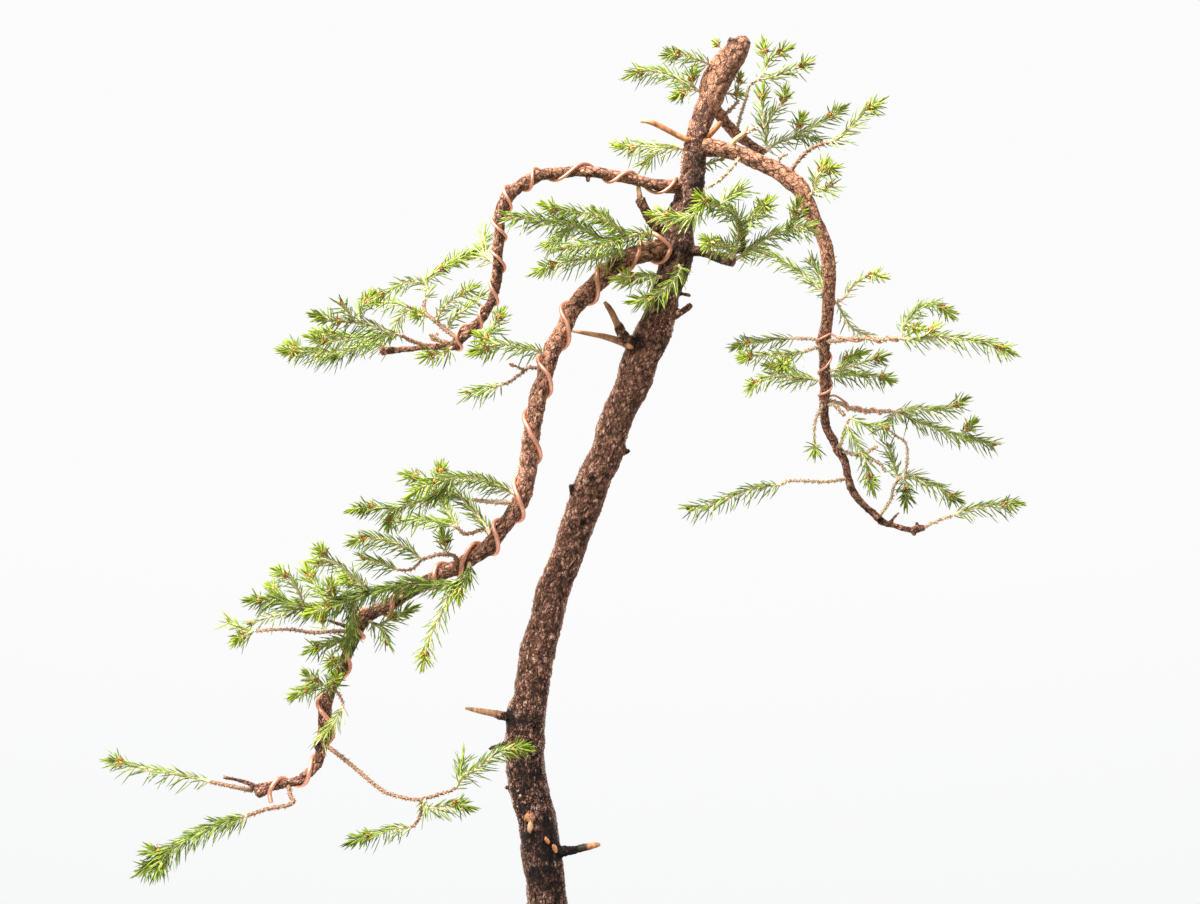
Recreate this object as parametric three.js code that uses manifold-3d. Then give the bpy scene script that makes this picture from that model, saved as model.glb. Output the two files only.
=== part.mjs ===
// A spruce trained as a bonsai, standing in a plain pot.
// Millimetres, +Z up, the tree's front faces -Y. The origin lies under the middle of the pot,
// on the surface that the pot stands on.

import * as THREE from 'three';
import { mergeVertices } from 'three/addons/utils/BufferGeometryUtils.js';
import Module from 'manifold-3d';

const wasm = await Module();
wasm.setup();

// Clearances
const GAP = 0.3;
const SEAT_GAP = 0.4;
const NEEDLE_GAP = 0.3;

// Pot and soil
const POT_LENGTH = 290;
const POT_DEPTH = 206;
const POT_HEIGHT = 80;
const POT_CORNER = 46;
const POT_WALL = 9;
const POT_TAPER = 14;
const RIM_OVERHANG = 5;
const RIM_HEIGHT = 9;
const FOOT_HEIGHT = 9;
const FLOOR_TOP = 20;
const FOOT_SIZE = [46, 34];
const DRAIN_RADIUS = 9;
const DRAIN_SPACING = 76;
const SOIL_EDGE_TOP = 73;
const SOIL_MOUND_TOP = 84;
const STUMP_RADIUS = 17;
const STUMP_BOTTOM = 48;

// Training wire: radius, and the steps that a turn is drawn with
const UPPER_WIRE_RADIUS = 1.25;
const LOWER_WIRE_RADIUS = 1.75;
const RIGHT_WIRE_RADIUS = 0.9;
const WIRE_STEPS = 8;

// Shoots: stems, needles and the spacing of the rings that needles stand on
const STEM_RADIUS = 1.35;
const STEM_TIP_RADIUS = 1.0;
const WHORL_RING = 2.4;
const BETWEEN_WHORLS = 16;
const FRESH_RING = 5;
const EXTRA_NEEDLES = 0.15;
const BARE_RING = 16;
const OLD_NEEDLE = 11.5;
const FRESH_NEEDLE = 9.5;
const NEEDLE_RADIUS = 0.75;
const OWN_NEEDLE_ROOM = 1;
const SEED = 20251;
const SIXTH = Math.PI / 3;

// The tree's routes are drawn as they show from the front. In a point [x, z, depth], x and z are
// its place where the line of sight from EYE crosses the plane y = 0, and depth is its y.
// Wood adds a radius, also as it shows in that plane.
const EYE = { x: 22.75, distance: 1400, z: 466.4 };

function place([x, z, depth]) {
  const spread = (EYE.distance + depth) / EYE.distance;
  return new THREE.Vector3(EYE.x + (x - EYE.x) * spread, depth, EYE.z + (z - EYE.z) * spread);
}

// The wood, from its foot or joint outwards: [x, z, depth, radius]
const TRUNK = [
  [-8, 84.8, 0, 21], [-8, 92, 0, 19], [-9, 104, 0, 16.5], [-11, 120, -1, 15], [-13, 137, -1, 14.3],
  [-14, 150, -2, 14], [-15.4, 167, -2, 13.6], [-17.9, 181, -3, 14], [-19.6, 195, -3, 13.7],
  [-21.4, 209, -4, 13.3], [-25.2, 223, -4, 13.7], [-28.4, 237, -4, 13.3], [-29.8, 251, -4, 13.3],
  [-29.8, 265, -3, 14], [-28.7, 284, -2, 13.7], [-26.3, 293, -1, 12.3], [-24.2, 307, 0, 11.9],
  [-20.7, 328, 2, 12.3], [-14.7, 349, 3, 11.6], [-10.1, 370, 4, 11.6], [-1, 391, 5, 11.2],
  [7.8, 418, 5, 11.6], [13.7, 434, 5, 12.3], [19.3, 450, 4, 11.9], [27.7, 466, 4, 11.6],
  [31.4, 482, 3, 11.2], [37.9, 498, 2, 11.2], [45.9, 514, 1, 12.3], [50.4, 530, 0, 12.6],
  [59.2, 548, -1, 12.6], [65.5, 566, -2, 10.9], [69, 580, -2, 10.5], [74.6, 594, -2, 10.8],
  [76.7, 608, -1, 12.4], [76.5, 625, 0, 11.6], [83, 639, 0, 9.8], [87.2, 657, 0, 8.8],
  [88.6, 671, 0, 8.8], [90, 685, 1, 7.7], [94.2, 699, 2, 7.7], [99.8, 713, 2, 8.8],
  [104.7, 727, 2, 10.5], [112.4, 739.4, 2, 9.8], [119.5, 748.5, 2, 8], [124, 755.5, 2, 5],
];
const UPPER_LEFT = [
  [87.2, 652, 0, 5], [75.3, 652, -4, 4.9], [64.8, 653.3, -9, 4.6], [50.8, 655.8, -14, 3.9],
  [36.8, 658.9, -18, 3.9], [26.3, 661, -20, 4.2], [8.8, 663.1, -22, 3.9], [-8.8, 661.4, -24, 3.9],
  [-19.3, 660.3, -26, 4.2], [-26.3, 656.8, -27, 4.6], [-33.3, 652.6, -28, 4.2],
  [-40.3, 647, -29, 4.9], [-44.5, 640, -30, 4.9], [-47.3, 632.3, -30, 4.6],
  [-47.6, 621.8, -30, 3.5], [-48.3, 611.3, -29, 3.9], [-48.7, 600.8, -28, 3.5],
  [-49.4, 590.3, -26, 4.2], [-50.1, 583.3, -24, 3.5], [-52.9, 572.8, -21, 3.2],
  [-56.4, 565.8, -18, 3.2], [-59.9, 560.2, -15, 3.2], [-64.8, 555.3, -12, 3.5],
  [-69.7, 550.4, -9, 4.2], [-75.3, 546.2, -6, 4.2], [-78.8, 541.3, -3, 3.9], [-85.8, 540.6, 0, 2.8],
  [-92.8, 539.9, 3, 2.5], [-99.8, 539.9, 6, 2.1], [-110.3, 538.5, 10, 1.8],
  [-120.8, 537.8, 13, 2.5], [-129.9, 537.1, 16, 3.2],
];
const LOWER_LEFT = [
  [81.6, 607.8, 0, 7], [68.3, 607.8, -6, 7.7], [57.8, 607.1, -12, 7.4], [43.8, 602.9, -18, 6.7],
  [36.8, 599.4, -21, 6.3], [31.2, 595.2, -23, 6.3], [24.2, 588.2, -25, 6.7],
  [15.8, 579.8, -27, 6.3], [8.8, 572.8, -29, 6.3], [1.8, 563, -31, 6], [-2.8, 551.8, -33, 5.6],
  [-7.4, 544.1, -34, 6], [-10.9, 537.8, -35, 6.3], [-13, 530.8, -36, 6.3], [-15.1, 523.8, -37, 6],
  [-16.5, 516.8, -38, 5.3], [-19.3, 509.8, -38, 6], [-21, 502.8, -38, 6.3], [-22.1, 495.8, -38, 6],
  [-23.5, 488.8, -38, 6], [-24.9, 481.8, -38, 6], [-27, 462.9, -38, 6.3], [-28.6, 450.3, -37, 6.7],
  [-32.2, 434.2, -36, 6], [-41.7, 418.1, -34, 5.6], [-48, 409.7, -32, 5.3],
  [-57.1, 398.5, -30, 5.6], [-61.3, 396.1, -29, 5.6], [-76.7, 386.6, -25, 5.3],
  [-85.8, 382.4, -22, 4.9], [-94.9, 377.5, -19, 4.9], [-113.1, 367, -12, 4.6],
  [-125, 359.3, -7, 4.6], [-136.9, 353.7, -2, 4.6], [-144.6, 346, 1, 4.6], [-149.5, 335.5, 4, 4.2],
  [-153.7, 326.4, 6, 4.2], [-158.6, 313.8, 8, 3.9], [-167.7, 295.6, 8, 4.2],
  [-169.8, 285.1, 6, 4.9], [-169.8, 271.8, 3, 4.9], [-172.6, 260.6, 0, 4.6],
  [-174, 250.8, -3, 3.5], [-181, 241.7, -6, 3.2], [-190.1, 236.1, -8, 3.2],
  [-198.5, 234, -10, 3.2], [-206.9, 232.6, -11, 3.9], [-217.2, 228.6, -12, 5.1],
];
const RIGHT = [
  [88.6, 680.6, 0, 5.6], [96, 680, 0, 6.6], [106.8, 678.5, -2, 5.8], [120.8, 675, -4, 5.6],
  [134.8, 668.7, -8, 5.6], [148.8, 662.4, -12, 6], [155.8, 656.8, -14, 6.3],
  [162.8, 651.2, -16, 6.3], [167, 642.8, -17, 5.6], [169.8, 635.1, -18, 5.6],
  [172.6, 628.8, -18, 5.3], [179.6, 614.8, -18, 4.9], [182.4, 600.8, -17, 4.9],
  [183.4, 586.8, -15, 4.6], [182.7, 572.8, -13, 4.6], [181.7, 558.8, -10, 4.2],
  [179.6, 544.8, -7, 4.6], [179.9, 530.8, -3, 3.9], [180.3, 509.8, 3, 3.9], [179.6, 495.8, 7, 3.2],
  [181.7, 481.8, 10, 3], [185.9, 474.8, 12, 3], [189.4, 467.8, 13, 3.2], [194.3, 459.4, 15, 3],
  [196, 450.3, 16, 2.8], [198.5, 441.6, 17, 2.8], [205.8, 430.7, 18, 2.7], [214.6, 423, 18, 2.7],
  [219.5, 418.1, 18, 2.6], [229.3, 414.6, 17, 2.1], [239.8, 411.8, 15, 2.1],
  [245.5, 412.6, 14, 2.7], [249.5, 413.6, 13, 2],
];
const BEHIND = [
  [99, 711, 0, 4.2], [101.2, 710, 2, 4.2], [108.2, 700.2, 12, 4.2], [118, 689, 20, 4],
  [127.8, 682, 26, 3.5], [137.6, 675.7, 30, 2.8],
];
const FORWARD = [
  [82, 607, -2, 4.5], [96, 606.6, -12, 3.6], [105.6, 602.4, -20, 3.8], [116, 599.8, -26, 4.2],
];
const OUTER_TWIG = [
  [180, 544.8, -7, 1.7], [185, 544, -12, 1.5], [205, 546, -18, 1.4], [219, 545, -22, 1.35],
  [231, 546, -25, 1.3],
];
const MIDDLE_TWIG = [
  [180, 502, 5, 1.7], [186, 501.5, 9, 1.6], [192, 500, 13, 1.5], [198, 497, 16, 1.5],
  [212, 495, 20, 1.45], [226, 495, 22, 1.4],
];

// Bare twigs, dead stubs, knots and surface roots
const STUBS = {
  crown_knob: [[118, 752, 0, 4], [113, 755, -3, 2.6]],
  crown_jin: [[90, 685, 0, 2.2], [84, 685, -5, 2], [59, 697, -9, 1.7], [51, 698, -10, 1.3]],
  crown_peg: [[95, 684, 1, 2], [101, 690, -2, 1.9], [107.5, 697.5, -5, 1.8]],
  crown_twiglet: [[109, 702, 12, 1.4], [114, 706, 10, 1.2], [120, 712.5, 9, 1]],
  shoulder_jin: [
    [114, 675, -2, 2], [116, 683, -6, 1.7], [124, 690, -8, 1.4], [126, 695, -9, 1.1],
  ],
  shoulder_fork: [[123, 689, -8, 1.3], [133, 693.5, -9, 1]],
  shoulder_twig: [
    [121, 673, -6, 1.3], [117, 668, -13, 1.1], [107, 657, -17, 1], [97, 651, -18, 0.9],
  ],
  shoulder_spur: [[146, 664, -11, 1.5], [149, 673, -12, 1.2], [154, 675, -13, 0.9]],
  forward_twig: [
    [113, 601, -24, 2.3], [117.5, 606.4, -27, 2.2], [123, 609, -29, 2.2], [122.5, 616.4, -31, 2.1],
    [126, 621, -32, 2],
  ],
  neck_stub: [[68, 620, -4, 4.5], [59, 628, -8, 4], [54, 637, -11, 3.8], [50.5, 643.5, -12, 3.5]],
  neck_peg: [[51, 642, -12, 1.9], [49.5, 653, -13.5, 1.5]],
  under_stub: [[14, 662, -21, 2], [14.5, 656, -23, 1.6]],
  middle_jin_bark: [[50, 537, -2, 5], [45, 540, -8, 4.4], [39, 548, -11, 4], [35, 555, -13, 3.8]],
  middle_jin: [[36, 553, -13, 2.4], [31, 564, -15, 2.1], [26, 571.5, -17, 1.6]],
  middle_spike: [
    [47, 537, -3, 3], [40.5, 542, -6, 2.6], [26.5, 547, -8, 2.1], [16, 549, -9, 1.7],
    [3.4, 551, -11, 1.1],
  ],
  right_spike: [[72, 577, -2, 1.8], [80, 577, -4, 1.5], [86, 576, -5, 1]],
  right_stub: [[66, 560, -2, 3.2], [76, 562.5, -5, 2.7], [86.7, 569, -6, 2.1]],
  bend_stub: [[30, 464, 2, 3.2], [40, 466.5, 0, 2.6], [43.5, 467.5, 0, 2.1]],
  bend_peg: [[9, 435, 2, 3], [3.6, 438, 0, 2.4], [2.4, 443.5, -1, 1.7]],
  low_jin: [
    [-29, 281, -4, 5], [-41, 281, -8, 3.4], [-50, 283, -10, 2.8], [-60, 285, -11, 2],
    [-71, 287, -12, 1.3],
  ],
  low_thorn: [[-36, 264, -4, 2.4], [-45, 262, -6, 1.8], [-55, 258.7, -8, 1]],
  low_spike: [[-34, 232, -4, 2.4], [-44, 231.5, -5, 1]],
  low_stub: [
    [-18, 186, -4, 5], [-4.3, 186.4, -9, 3.8], [8, 188.7, -11, 3.1], [13, 190, -12, 2.5],
    [22.4, 191.5, -13, 2],
  ],
  upper_twiglet: [[-84, 541, 0, 1.5], [-91, 545, -8, 1.2], [-97, 549, -12, 1]],
  lower_end_twig: [
    [-217, 230, -12, 2.6], [-223, 234.5, -15, 1.7], [-232, 237, -17, 1.5], [-241, 239, -19, 1.3],
  ],
  lower_bare_twig: [
    [-35, 430, -35, 2], [-43, 431, -40, 1.6], [-54, 431.5, -45, 1.5], [-67, 433, -48, 1.2],
  ],
  lower_spur: [[-148, 343, 2, 2], [-157, 345, -3, 1.5], [-167, 348.5, -6, 1.2]],
  right_hook: [[181, 500, 5, 1.7], [187, 499, 2, 1.4], [194, 492, 1, 1.2]],
  right_low_twig: [
    [190, 467, 13, 1.7], [198, 465.5, 11, 1.3], [206, 464, 10, 1.2], [214, 469, 8, 1.1],
    [217, 470, 7, 1],
  ],
  right_low_fork: [[205, 464, 10, 1.2], [219, 458, 11, 1.1], [222.5, 453, 11, 1]],
  right_end_spur: [[225, 416, 17, 1.6], [229, 421, 15, 1.2], [232, 424, 13, 1]],
  right_end_knob: [[240, 412, 15, 1.9], [243.5, 408.5, 14, 1.7]],
  right_end_peg: [[245, 412, 14, 1.7], [244.5, 417.5, 13, 1.3]],
};

// Surface roots, at their real places: [x, y, z, radius]
const ROOTS = [
  [[-7, 0, 100, 9], [-24, -6, 92, 5.5], [-38, -10, 87.6, 2.6]],
  [[-7, 0, 100, 9], [-13, -18, 92.5, 5.2], [-17, -38, 87.4, 2.4]],
  [[-7, 0, 100, 9], [12, -8, 92.5, 5.5], [29, -15, 87.4, 2.4]],
  [[-7, 0, 100, 9], [-2, 18, 92, 5.2], [5, 36, 87.4, 2.4]],
];

// Front crossings of the training wire, as stations along the branch's list of points
const UPPER_WIRE_FRONT = [1.5, 4.1, 6.35, 8.8, 11.5, 14, 15.8, 18.4, 20.9, 24];
const LOWER_WIRE_FRONT = [
  1.05, 2.75, 6.5, 9.6, 14.3, 20.2, 23.1, 25.1, 27.7, 29.6, 31.6, 34.2, 36, 39.2, 43, 45.95,
];
const RIGHT_WIRE_FRONT = [15.75, 17.2, 18.05];
const OUTER_TWIG_FRONT = [3.7, 2.7, 1.6];
const MIDDLE_TWIG_FRONT = [2.6, 3.6, 4.3];

// The leafy branchlets. A shoot is a line of points from where it joins. Needles begin at point
// `bare`, and from point `bud` on it is this year's bright growth. The first shoot of a spray
// sits on the wood, and the others grow out of it.
const SPRAYS = {
  spray_crown_tip: [{ bud: 1, line: [[109, 748, 2], [106, 751, 3], [103, 754, 4]] }],
  spray_crown_left_upper: [
    { bud: 2, line: [[100, 741, -2], [86, 743, -10], [77, 745, -14], [63, 743, -18]] },
  ],
  spray_crown_left_middle: [
    {
      bud: 4,
      line: [
        [93, 718, 2], [87, 721, 6], [71, 731, 14], [58, 733, 18], [52, 733, 20], [38, 728, 22],
      ],
    },
    { bud: 1, line: [[88, 720, 6], [87, 727, 4], [89, 734, 1]] },
    { bud: 1, line: [[87, 721, 6], [81, 718, 2], [73, 714, -2]] },
  ],
  spray_crown_left_lower: [
    { bud: 3, line: [[84, 679, 3], [61, 680, 14], [51, 681, 18], [46, 679, 20], [29, 683, 26]] },
    { line: [[66, 680, 12], [60, 674, 18], [54, 669, 22]] },
  ],
  spray_crown_front: [
    { bud: 1, line: [[111, 714, 3], [117, 717, 9], [124, 718, 14]] },
    { bud: 1, line: [[117, 717, 9], [120, 725, 12], [121, 732, 14]] },
  ],
  spray_crown_low: [{ line: [[93, 664, 6], [100, 669, 11], [107, 671, 14]] }],
  spray_crown_right: [
    {
      bare: 4,
      bud: 7,
      line: [
        [118, 690, 20], [122, 705, 22], [125, 714, 24], [128, 723.5, 26], [135, 727, 28],
        [145, 729, 28], [152, 733, 27], [163, 736, 24], [172, 743, 20],
      ],
    },
    { bud: 3, line: [[133, 726, 28], [138, 735, 33], [140, 741, 36], [138, 746, 38], [137, 752, 39]] },
    { bud: 2, line: [[140, 740, 35.5], [143, 743, 33], [148, 746, 30], [158, 751.5, 26]] },
  ],
  spray_shoulder_back: [
    {
      bud: 7,
      line: [
        [138, 676, 30], [141, 679, 33], [149, 684, 38], [156, 686, 42], [163, 690, 46],
        [171, 694, 50], [178, 698, 52], [183, 701, 54], [197, 711, 56],
      ],
    },
    {
      bud: 4,
      line: [
        [140, 678, 32], [139, 685, 38], [137, 695.5, 42], [136, 706, 45], [136, 714, 46],
        [137, 724, 46],
      ],
    },
    {
      bud: 3,
      line: [[138, 693, 41], [145.5, 705, 34], [150, 709.5, 30], [151, 713, 28], [152, 719, 26]],
    },
    { bud: 1, line: [[158, 687.5, 43], [162, 695, 34], [165, 706, 28]] },
    { line: [[161, 689, 45], [168, 687, 56], [176, 685, 62]] },
  ],
  spray_shoulder_front: [
    {
      bare: 3,
      bud: 7,
      line: [
        [154, 660, -14], [163, 672, -18], [171, 679, -22], [182, 683, -28], [190, 686, -32],
        [198, 694, -38], [205, 701, -42], [211, 707, -45], [224, 714, -50],
      ],
    },
  ],
  spray_shoulder_side: [
    {
      bud: 3,
      line: [[169, 643, -17], [173, 650, -24], [174, 658, -28], [177, 663, -30], [182, 673, -32]],
    },
    { bud: 1, line: [[176, 661, -29.5], [182, 664, -38], [190, 666, -44]] },
    { line: [[173.5, 651, -25], [180, 651, -32], [184, 653, -38]] },
  ],
  spray_front_high: [
    {
      bud: 4,
      line: [
        [125, 620, -32], [120, 629, -40], [113, 635, -47], [103.5, 639.5, -54], [97, 642, -60],
        [89, 646, -68],
      ],
    },
    {
      bud: 3,
      line: [[101, 640.5, -56], [93, 638, -50], [86, 631, -42], [71, 631.5, -34], [54, 633, -28]],
    },
    { line: [[106, 638, -52], [112, 645, -48], [120, 650, -46]] },
    { bud: 2, line: [[123, 624, -36], [131.5, 632.5, -50], [137, 638, -62], [141, 643, -72]] },
  ],
  spray_front_low: [
    { bud: 2, line: [[122.5, 609, -29], [110.5, 611.5, -44], [101, 613, -56], [95, 614, -64]] },
  ],
  spray_front_right: [
    {
      bud: 4,
      line: [
        [122, 611, -30], [142, 618, -40], [152.5, 622, -46], [159.5, 630, -52], [160, 633, -54],
        [161, 641, -58],
      ],
    },
    { line: [[151, 621, -45], [160, 624, -56], [169, 624, -62]] },
  ],
  spray_right_inner: [
    {
      line: [
        [183, 575, -13], [170, 586, -4], [159.5, 595, 4], [148, 602, 10], [136, 606.5, 15],
        [124.5, 604, 18],
      ],
    },
  ],
  spray_right_behind: [
    { line: [[183, 573, -13], [180, 580, 2], [181, 590, 12], [182, 602, 20]] },
    { line: [[180.5, 583, 5], [175, 592, 14], [171, 600, 20]] },
  ],
  spray_neck_left: [
    { bud: 2, line: [[70, 590, -6], [58, 590, -20], [45, 588.5, -30], [36, 588, -37], [30, 587, -41]] },
  ],
  spray_neck_front: [
    {
      bud: 4,
      line: [
        [83, 600, -6], [79, 594, -20], [73, 585, -27], [65, 578, -31], [58, 574, -34],
        [40, 571, -38],
      ],
    },
  ],
  spray_middle_left_upper: [
    {
      line: [
        [60, 613, -13], [55, 619.5, -24], [38, 616, -32], [26.5, 615, -36], [16, 620, -41],
        [5.5, 625, -46], [-5, 628, -50], [-15.5, 628, -54], [-26, 631, -58], [-40, 631, -62],
      ],
    },
    { bud: 2, line: [[47, 617.8, -27.8], [37, 620.6, -20], [25, 629, -14], [19.5, 635, -11]] },
    {
      bud: 4,
      line: [
        [44, 617, -29], [36, 622, -34], [23, 631, -40], [5.5, 634.6, -46], [-8.5, 636, -50],
        [-16, 640, -52],
      ],
    },
    { line: [[40, 616, -31], [30, 612, -44], [19.5, 611, -52], [5.5, 611, -58], [-3, 609, -62]] },
    { line: [[6, 624.5, -45.5], [-4, 619, -38], [-13, 611.5, -33]] },
  ],
  spray_middle_left_lower: [
    {
      bud: 5,
      line: [
        [44, 604, -18], [38, 607, -30], [26.5, 604, -38], [19.5, 602.4, -42], [0, 600, -48],
        [-10, 597.5, -52], [-27, 590.5, -58],
      ],
    },
  ],
  spray_right_side: [
    {
      bud: 3,
      line: [[183, 568, -12], [193, 574, -16], [200, 583, -20], [212, 590, -26], [226, 588, -32]],
    },
    { line: [[189, 571, -14.5], [194, 561, -8], [200, 553, -4], [212, 547, 2]] },
  ],
  spray_inner_right_high: [
    {
      bud: 3,
      line: [[179.5, 545, -7], [159.5, 546, 2], [142, 545, 8], [126.6, 543, 14], [112, 538, 19]],
    },
  ],
  spray_inner_right_bright: [
    {
      bud: 5,
      line: [
        [179.6, 540, -6], [166.5, 537, -18], [159.5, 535, -24], [145.5, 535, -32], [135, 534, -37],
        [129, 533.5, -40], [117, 532, -45],
      ],
    },
    { bud: 1, line: [[158, 535, -25], [152, 529, -38], [148, 525, -52]] },
  ],
  spray_inner_right_low: [
    {
      bud: 4,
      line: [
        [180, 516, 1], [165, 519, 12], [156, 524, 18], [150, 525.5, 23], [146, 526, 26],
        [137, 528, 31],
      ],
    },
    {
      bud: 5,
      line: [
        [168, 518, 10], [160, 517, 2], [152, 519, -4], [145.5, 520, -9], [136.4, 518, -14],
        [132, 515, -17], [123, 508, -22],
      ],
    },
  ],
  spray_outer_right_upper: [
    {
      bud: 4,
      line: [
        [180, 523, -1], [189.6, 524, -8], [198, 527, -14], [206, 529, -19], [215.5, 532, -25],
        [226, 535, -31],
      ],
    },
    { bud: 1, line: [[188, 524, -6.5], [195, 531, 2], [212, 538, 10]] },
  ],
  spray_outer_right_lower: [
    {
      bud: 4,
      line: [
        [180, 519.5, 0], [190, 520, 10], [199, 520.5, 17], [208.5, 520.5, 26], [219, 519, 33],
        [230, 515, 40],
      ],
    },
  ],
  spray_outer_right_top: [
    {
      bud: 6,
      line: [
        [231.5, 546, -25], [243.5, 545, -28], [250.5, 546, -30], [261, 547, -32], [271.5, 545.7, -34],
        [292.5, 543.6, -36], [301.6, 540, -36], [316, 534, -36],
      ],
    },
    {
      bud: 5,
      line: [
        [234, 545.8, -26], [235, 554, -20], [241.4, 562.5, -14], [248.4, 569, -9],
        [257.5, 570, -4], [261, 568, -2], [273, 559, 4],
      ],
    },
    { bud: 1, line: [[236.5, 555.5, -19], [243, 553, -30], [250, 553, -40]] },
    { bud: 1, line: [[248, 545.7, -29.5], [254, 551, -22], [262, 555, -16]] },
  ],
  spray_outer_right_middle: [
    {
      line: [
        [226.5, 495, 22], [235, 493, 24], [241.4, 489, 26], [250.5, 486, 28], [261, 482.5, 30],
        [271.5, 479, 32], [276.4, 477, 33], [286, 475, 34], [297, 472, 35],
      ],
    },
    {
      bud: 4,
      line: [
        [230, 494.5, 23], [240, 496.5, 14], [257.5, 496, 6], [266, 497, 2], [271.5, 500, 0],
        [282, 504, -4],
      ],
    },
    { bud: 1, line: [[275, 477.5, 32.7], [280, 483, 26], [284, 487, 22]] },
    { line: [[229, 494.5, 22.6], [226, 489, 30], [221, 484, 38]] },
  ],
  spray_outer_right_hanging: [
    {
      bare: 3,
      line: [
        [190, 468, 13], [193, 477, 2], [195, 484, -5], [198, 490, -10], [206.4, 486, -18],
        [222, 484, -28],
      ],
    },
    {
      bud: 4,
      line: [
        [196, 486, -7], [198.5, 479, -14], [203.4, 470, -18], [207.6, 463, -21], [211, 450, -24],
        [215.4, 434.5, -27],
      ],
    },
  ],
  spray_right_star: [
    {
      bare: 3,
      bud: 3,
      line: [
        [179.6, 500, 6], [174, 490, -4], [172.6, 480.6, -10], [173, 471.5, -16], [173, 464, -24],
      ],
    },
  ],
  spray_low_right_inner: [
    {
      bare: 3,
      line: [
        [196.5, 447, 16], [181, 445.6, 8], [154.6, 446, -2], [149, 443.5, -5], [143, 443, -8],
        [127, 440, -16], [111, 434, -24], [100.5, 430, -28], [86.5, 427, -33],
      ],
    },
  ],
  spray_low_right_fan: [
    {
      bare: 3,
      bud: 7,
      line: [
        [217, 420, 18], [226.7, 434, 24], [228, 441, 27], [233, 448, 30], [241, 450, 28],
        [250.5, 445.6, 24], [262, 441, 20], [268, 436, 17], [279, 430, 12],
      ],
    },
    { bud: 1, line: [[235, 449.5, 30], [237, 440, 20], [237, 426, 8]] },
    { line: [[232, 446.5, 29.5], [229, 456, 36], [226, 464, 41], [224.6, 470, 44]] },
    {
      bare: 4,
      line: [
        [236, 450, 29.7], [238, 464.5, 30], [236.5, 473, 34], [229.5, 478, 40], [225, 482, 46],
      ],
    },
  ],
  spray_low_right_end: [
    {
      bare: 2,
      bud: 6,
      line: [
        [249.5, 413.6, 13], [263, 420, 10], [270, 422, 8], [273.6, 424, 7], [286, 427.4, 3],
        [297.4, 429, 0], [305.6, 430, -2], [321.5, 429.5, -6],
      ],
    },
  ],
  spray_upper_left_rise: [
    {
      bare: 4,
      bud: 7,
      line: [
        [-76, 546, -6], [-85.5, 552, 2], [-95, 560, 9], [-99.5, 564, 13], [-100, 573, 18],
        [-97.4, 578.6, 21], [-99.5, 586, 25], [-89, 594, 32], [-78, 601, 38], [-56, 609.4, 46],
      ],
    },
    {
      bud: 4,
      line: [
        [-99, 584.5, 24], [-111.4, 586, 18], [-119, 583, 13], [-125, 578.6, 9], [-130, 577, 6],
        [-146.4, 571.6, -2],
      ],
    },
    {
      bud: 3,
      line: [
        [-92, 557.5, 6.5], [-88, 566, -2], [-83.4, 571, -8], [-74, 577, -14], [-60.3, 584, -20],
      ],
    },
    { line: [[-85, 551.5, 1.5], [-80, 560, 10], [-69.4, 568.6, 14], [-60, 576, 18]] },
    { bud: 1, line: [[-98, 562.7, 11.8], [-104, 562, 2], [-108, 565, -6]] },
    { bare: 1, line: [[-98.6, 563.4, 12.3], [-112, 568, 22], [-122.6, 571, 28], [-134, 571, 34]] },
    { line: [[-110, 567.3, 20.5], [-117.6, 560.4, 28], [-121, 551, 34]] },
  ],
  spray_upper_left_outer: [
    {
      bare: 2,
      bud: 6,
      line: [
        [-98, 540, 5], [-108.6, 544, 0], [-117, 548, -6], [-127.5, 551, -12], [-138, 555.5, -17],
        [-150.6, 557.6, -22], [-160.4, 557.6, -26], [-173, 561, -31], [-184, 563, -35],
      ],
    },
    { line: [[-149, 557.5, -21], [-154, 565, -30], [-158, 570, -38]] },
    { bud: 2, line: [[-145, 557, -19.5], [-145, 567, -16], [-141, 571, -12], [-136, 579, -8]] },
    {
      bud: 4,
      line: [
        [-121, 549, -8.5], [-129.6, 548, -1], [-146.4, 547, 6], [-157.6, 548, 10], [-164, 548.5, 12],
        [-182, 551.5, 16],
      ],
    },
    { bud: 2, line: [[-150, 547.2, 7.5], [-162, 545, 0], [-169.5, 544, -5], [-186, 549, -12]] },
  ],
  spray_upper_left_low: [
    { line: [[-121, 538, 13], [-138, 542, 24], [-152, 538, 33], [-162, 534, 40], [-173, 533, 46]] },
    {
      bud: 3,
      line: [
        [-158, 535.5, 37.5], [-170, 537, 32], [-178.6, 536.6, 28], [-190.5, 536.6, 22],
        [-205, 538, 15],
      ],
    },
    { bud: 1, line: [[-184, 536.6, 25.5], [-190, 540, 32], [-198, 543, 38]] },
  ],
  spray_upper_left_under: [
    { bud: 2, line: [[-78.5, 541, -3], [-85.5, 536, -13], [-94.4, 534.5, -20], [-105, 532, -26]] },
  ],
  spray_upper_left_inner: [
    {
      bud: 3,
      line: [
        [-68, 551, -10], [-61.6, 548.6, -2], [-54, 551, 6], [-49, 559, 12], [-43.5, 569, 18],
      ],
    },
  ],
  spray_upper_left_back: [
    { line: [[-49, 597, -27], [-58, 604, -20], [-59, 613, -12], [-58, 618, -8]] },
  ],
  spray_middle_low: [
    {
      bud: 5,
      line: [
        [-13, 532, -36], [-22, 538, -44], [-33, 539, -49], [-41.4, 541.5, -53],
        [-50.5, 541.5, -57], [-56, 539, -60], [-71, 536, -66],
      ],
    },
    { bud: 1, line: [[-48, 541.5, -56], [-56, 545, -50], [-64, 549, -46]] },
  ],
  spray_middle_bare: [
    {
      bare: 4,
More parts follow.
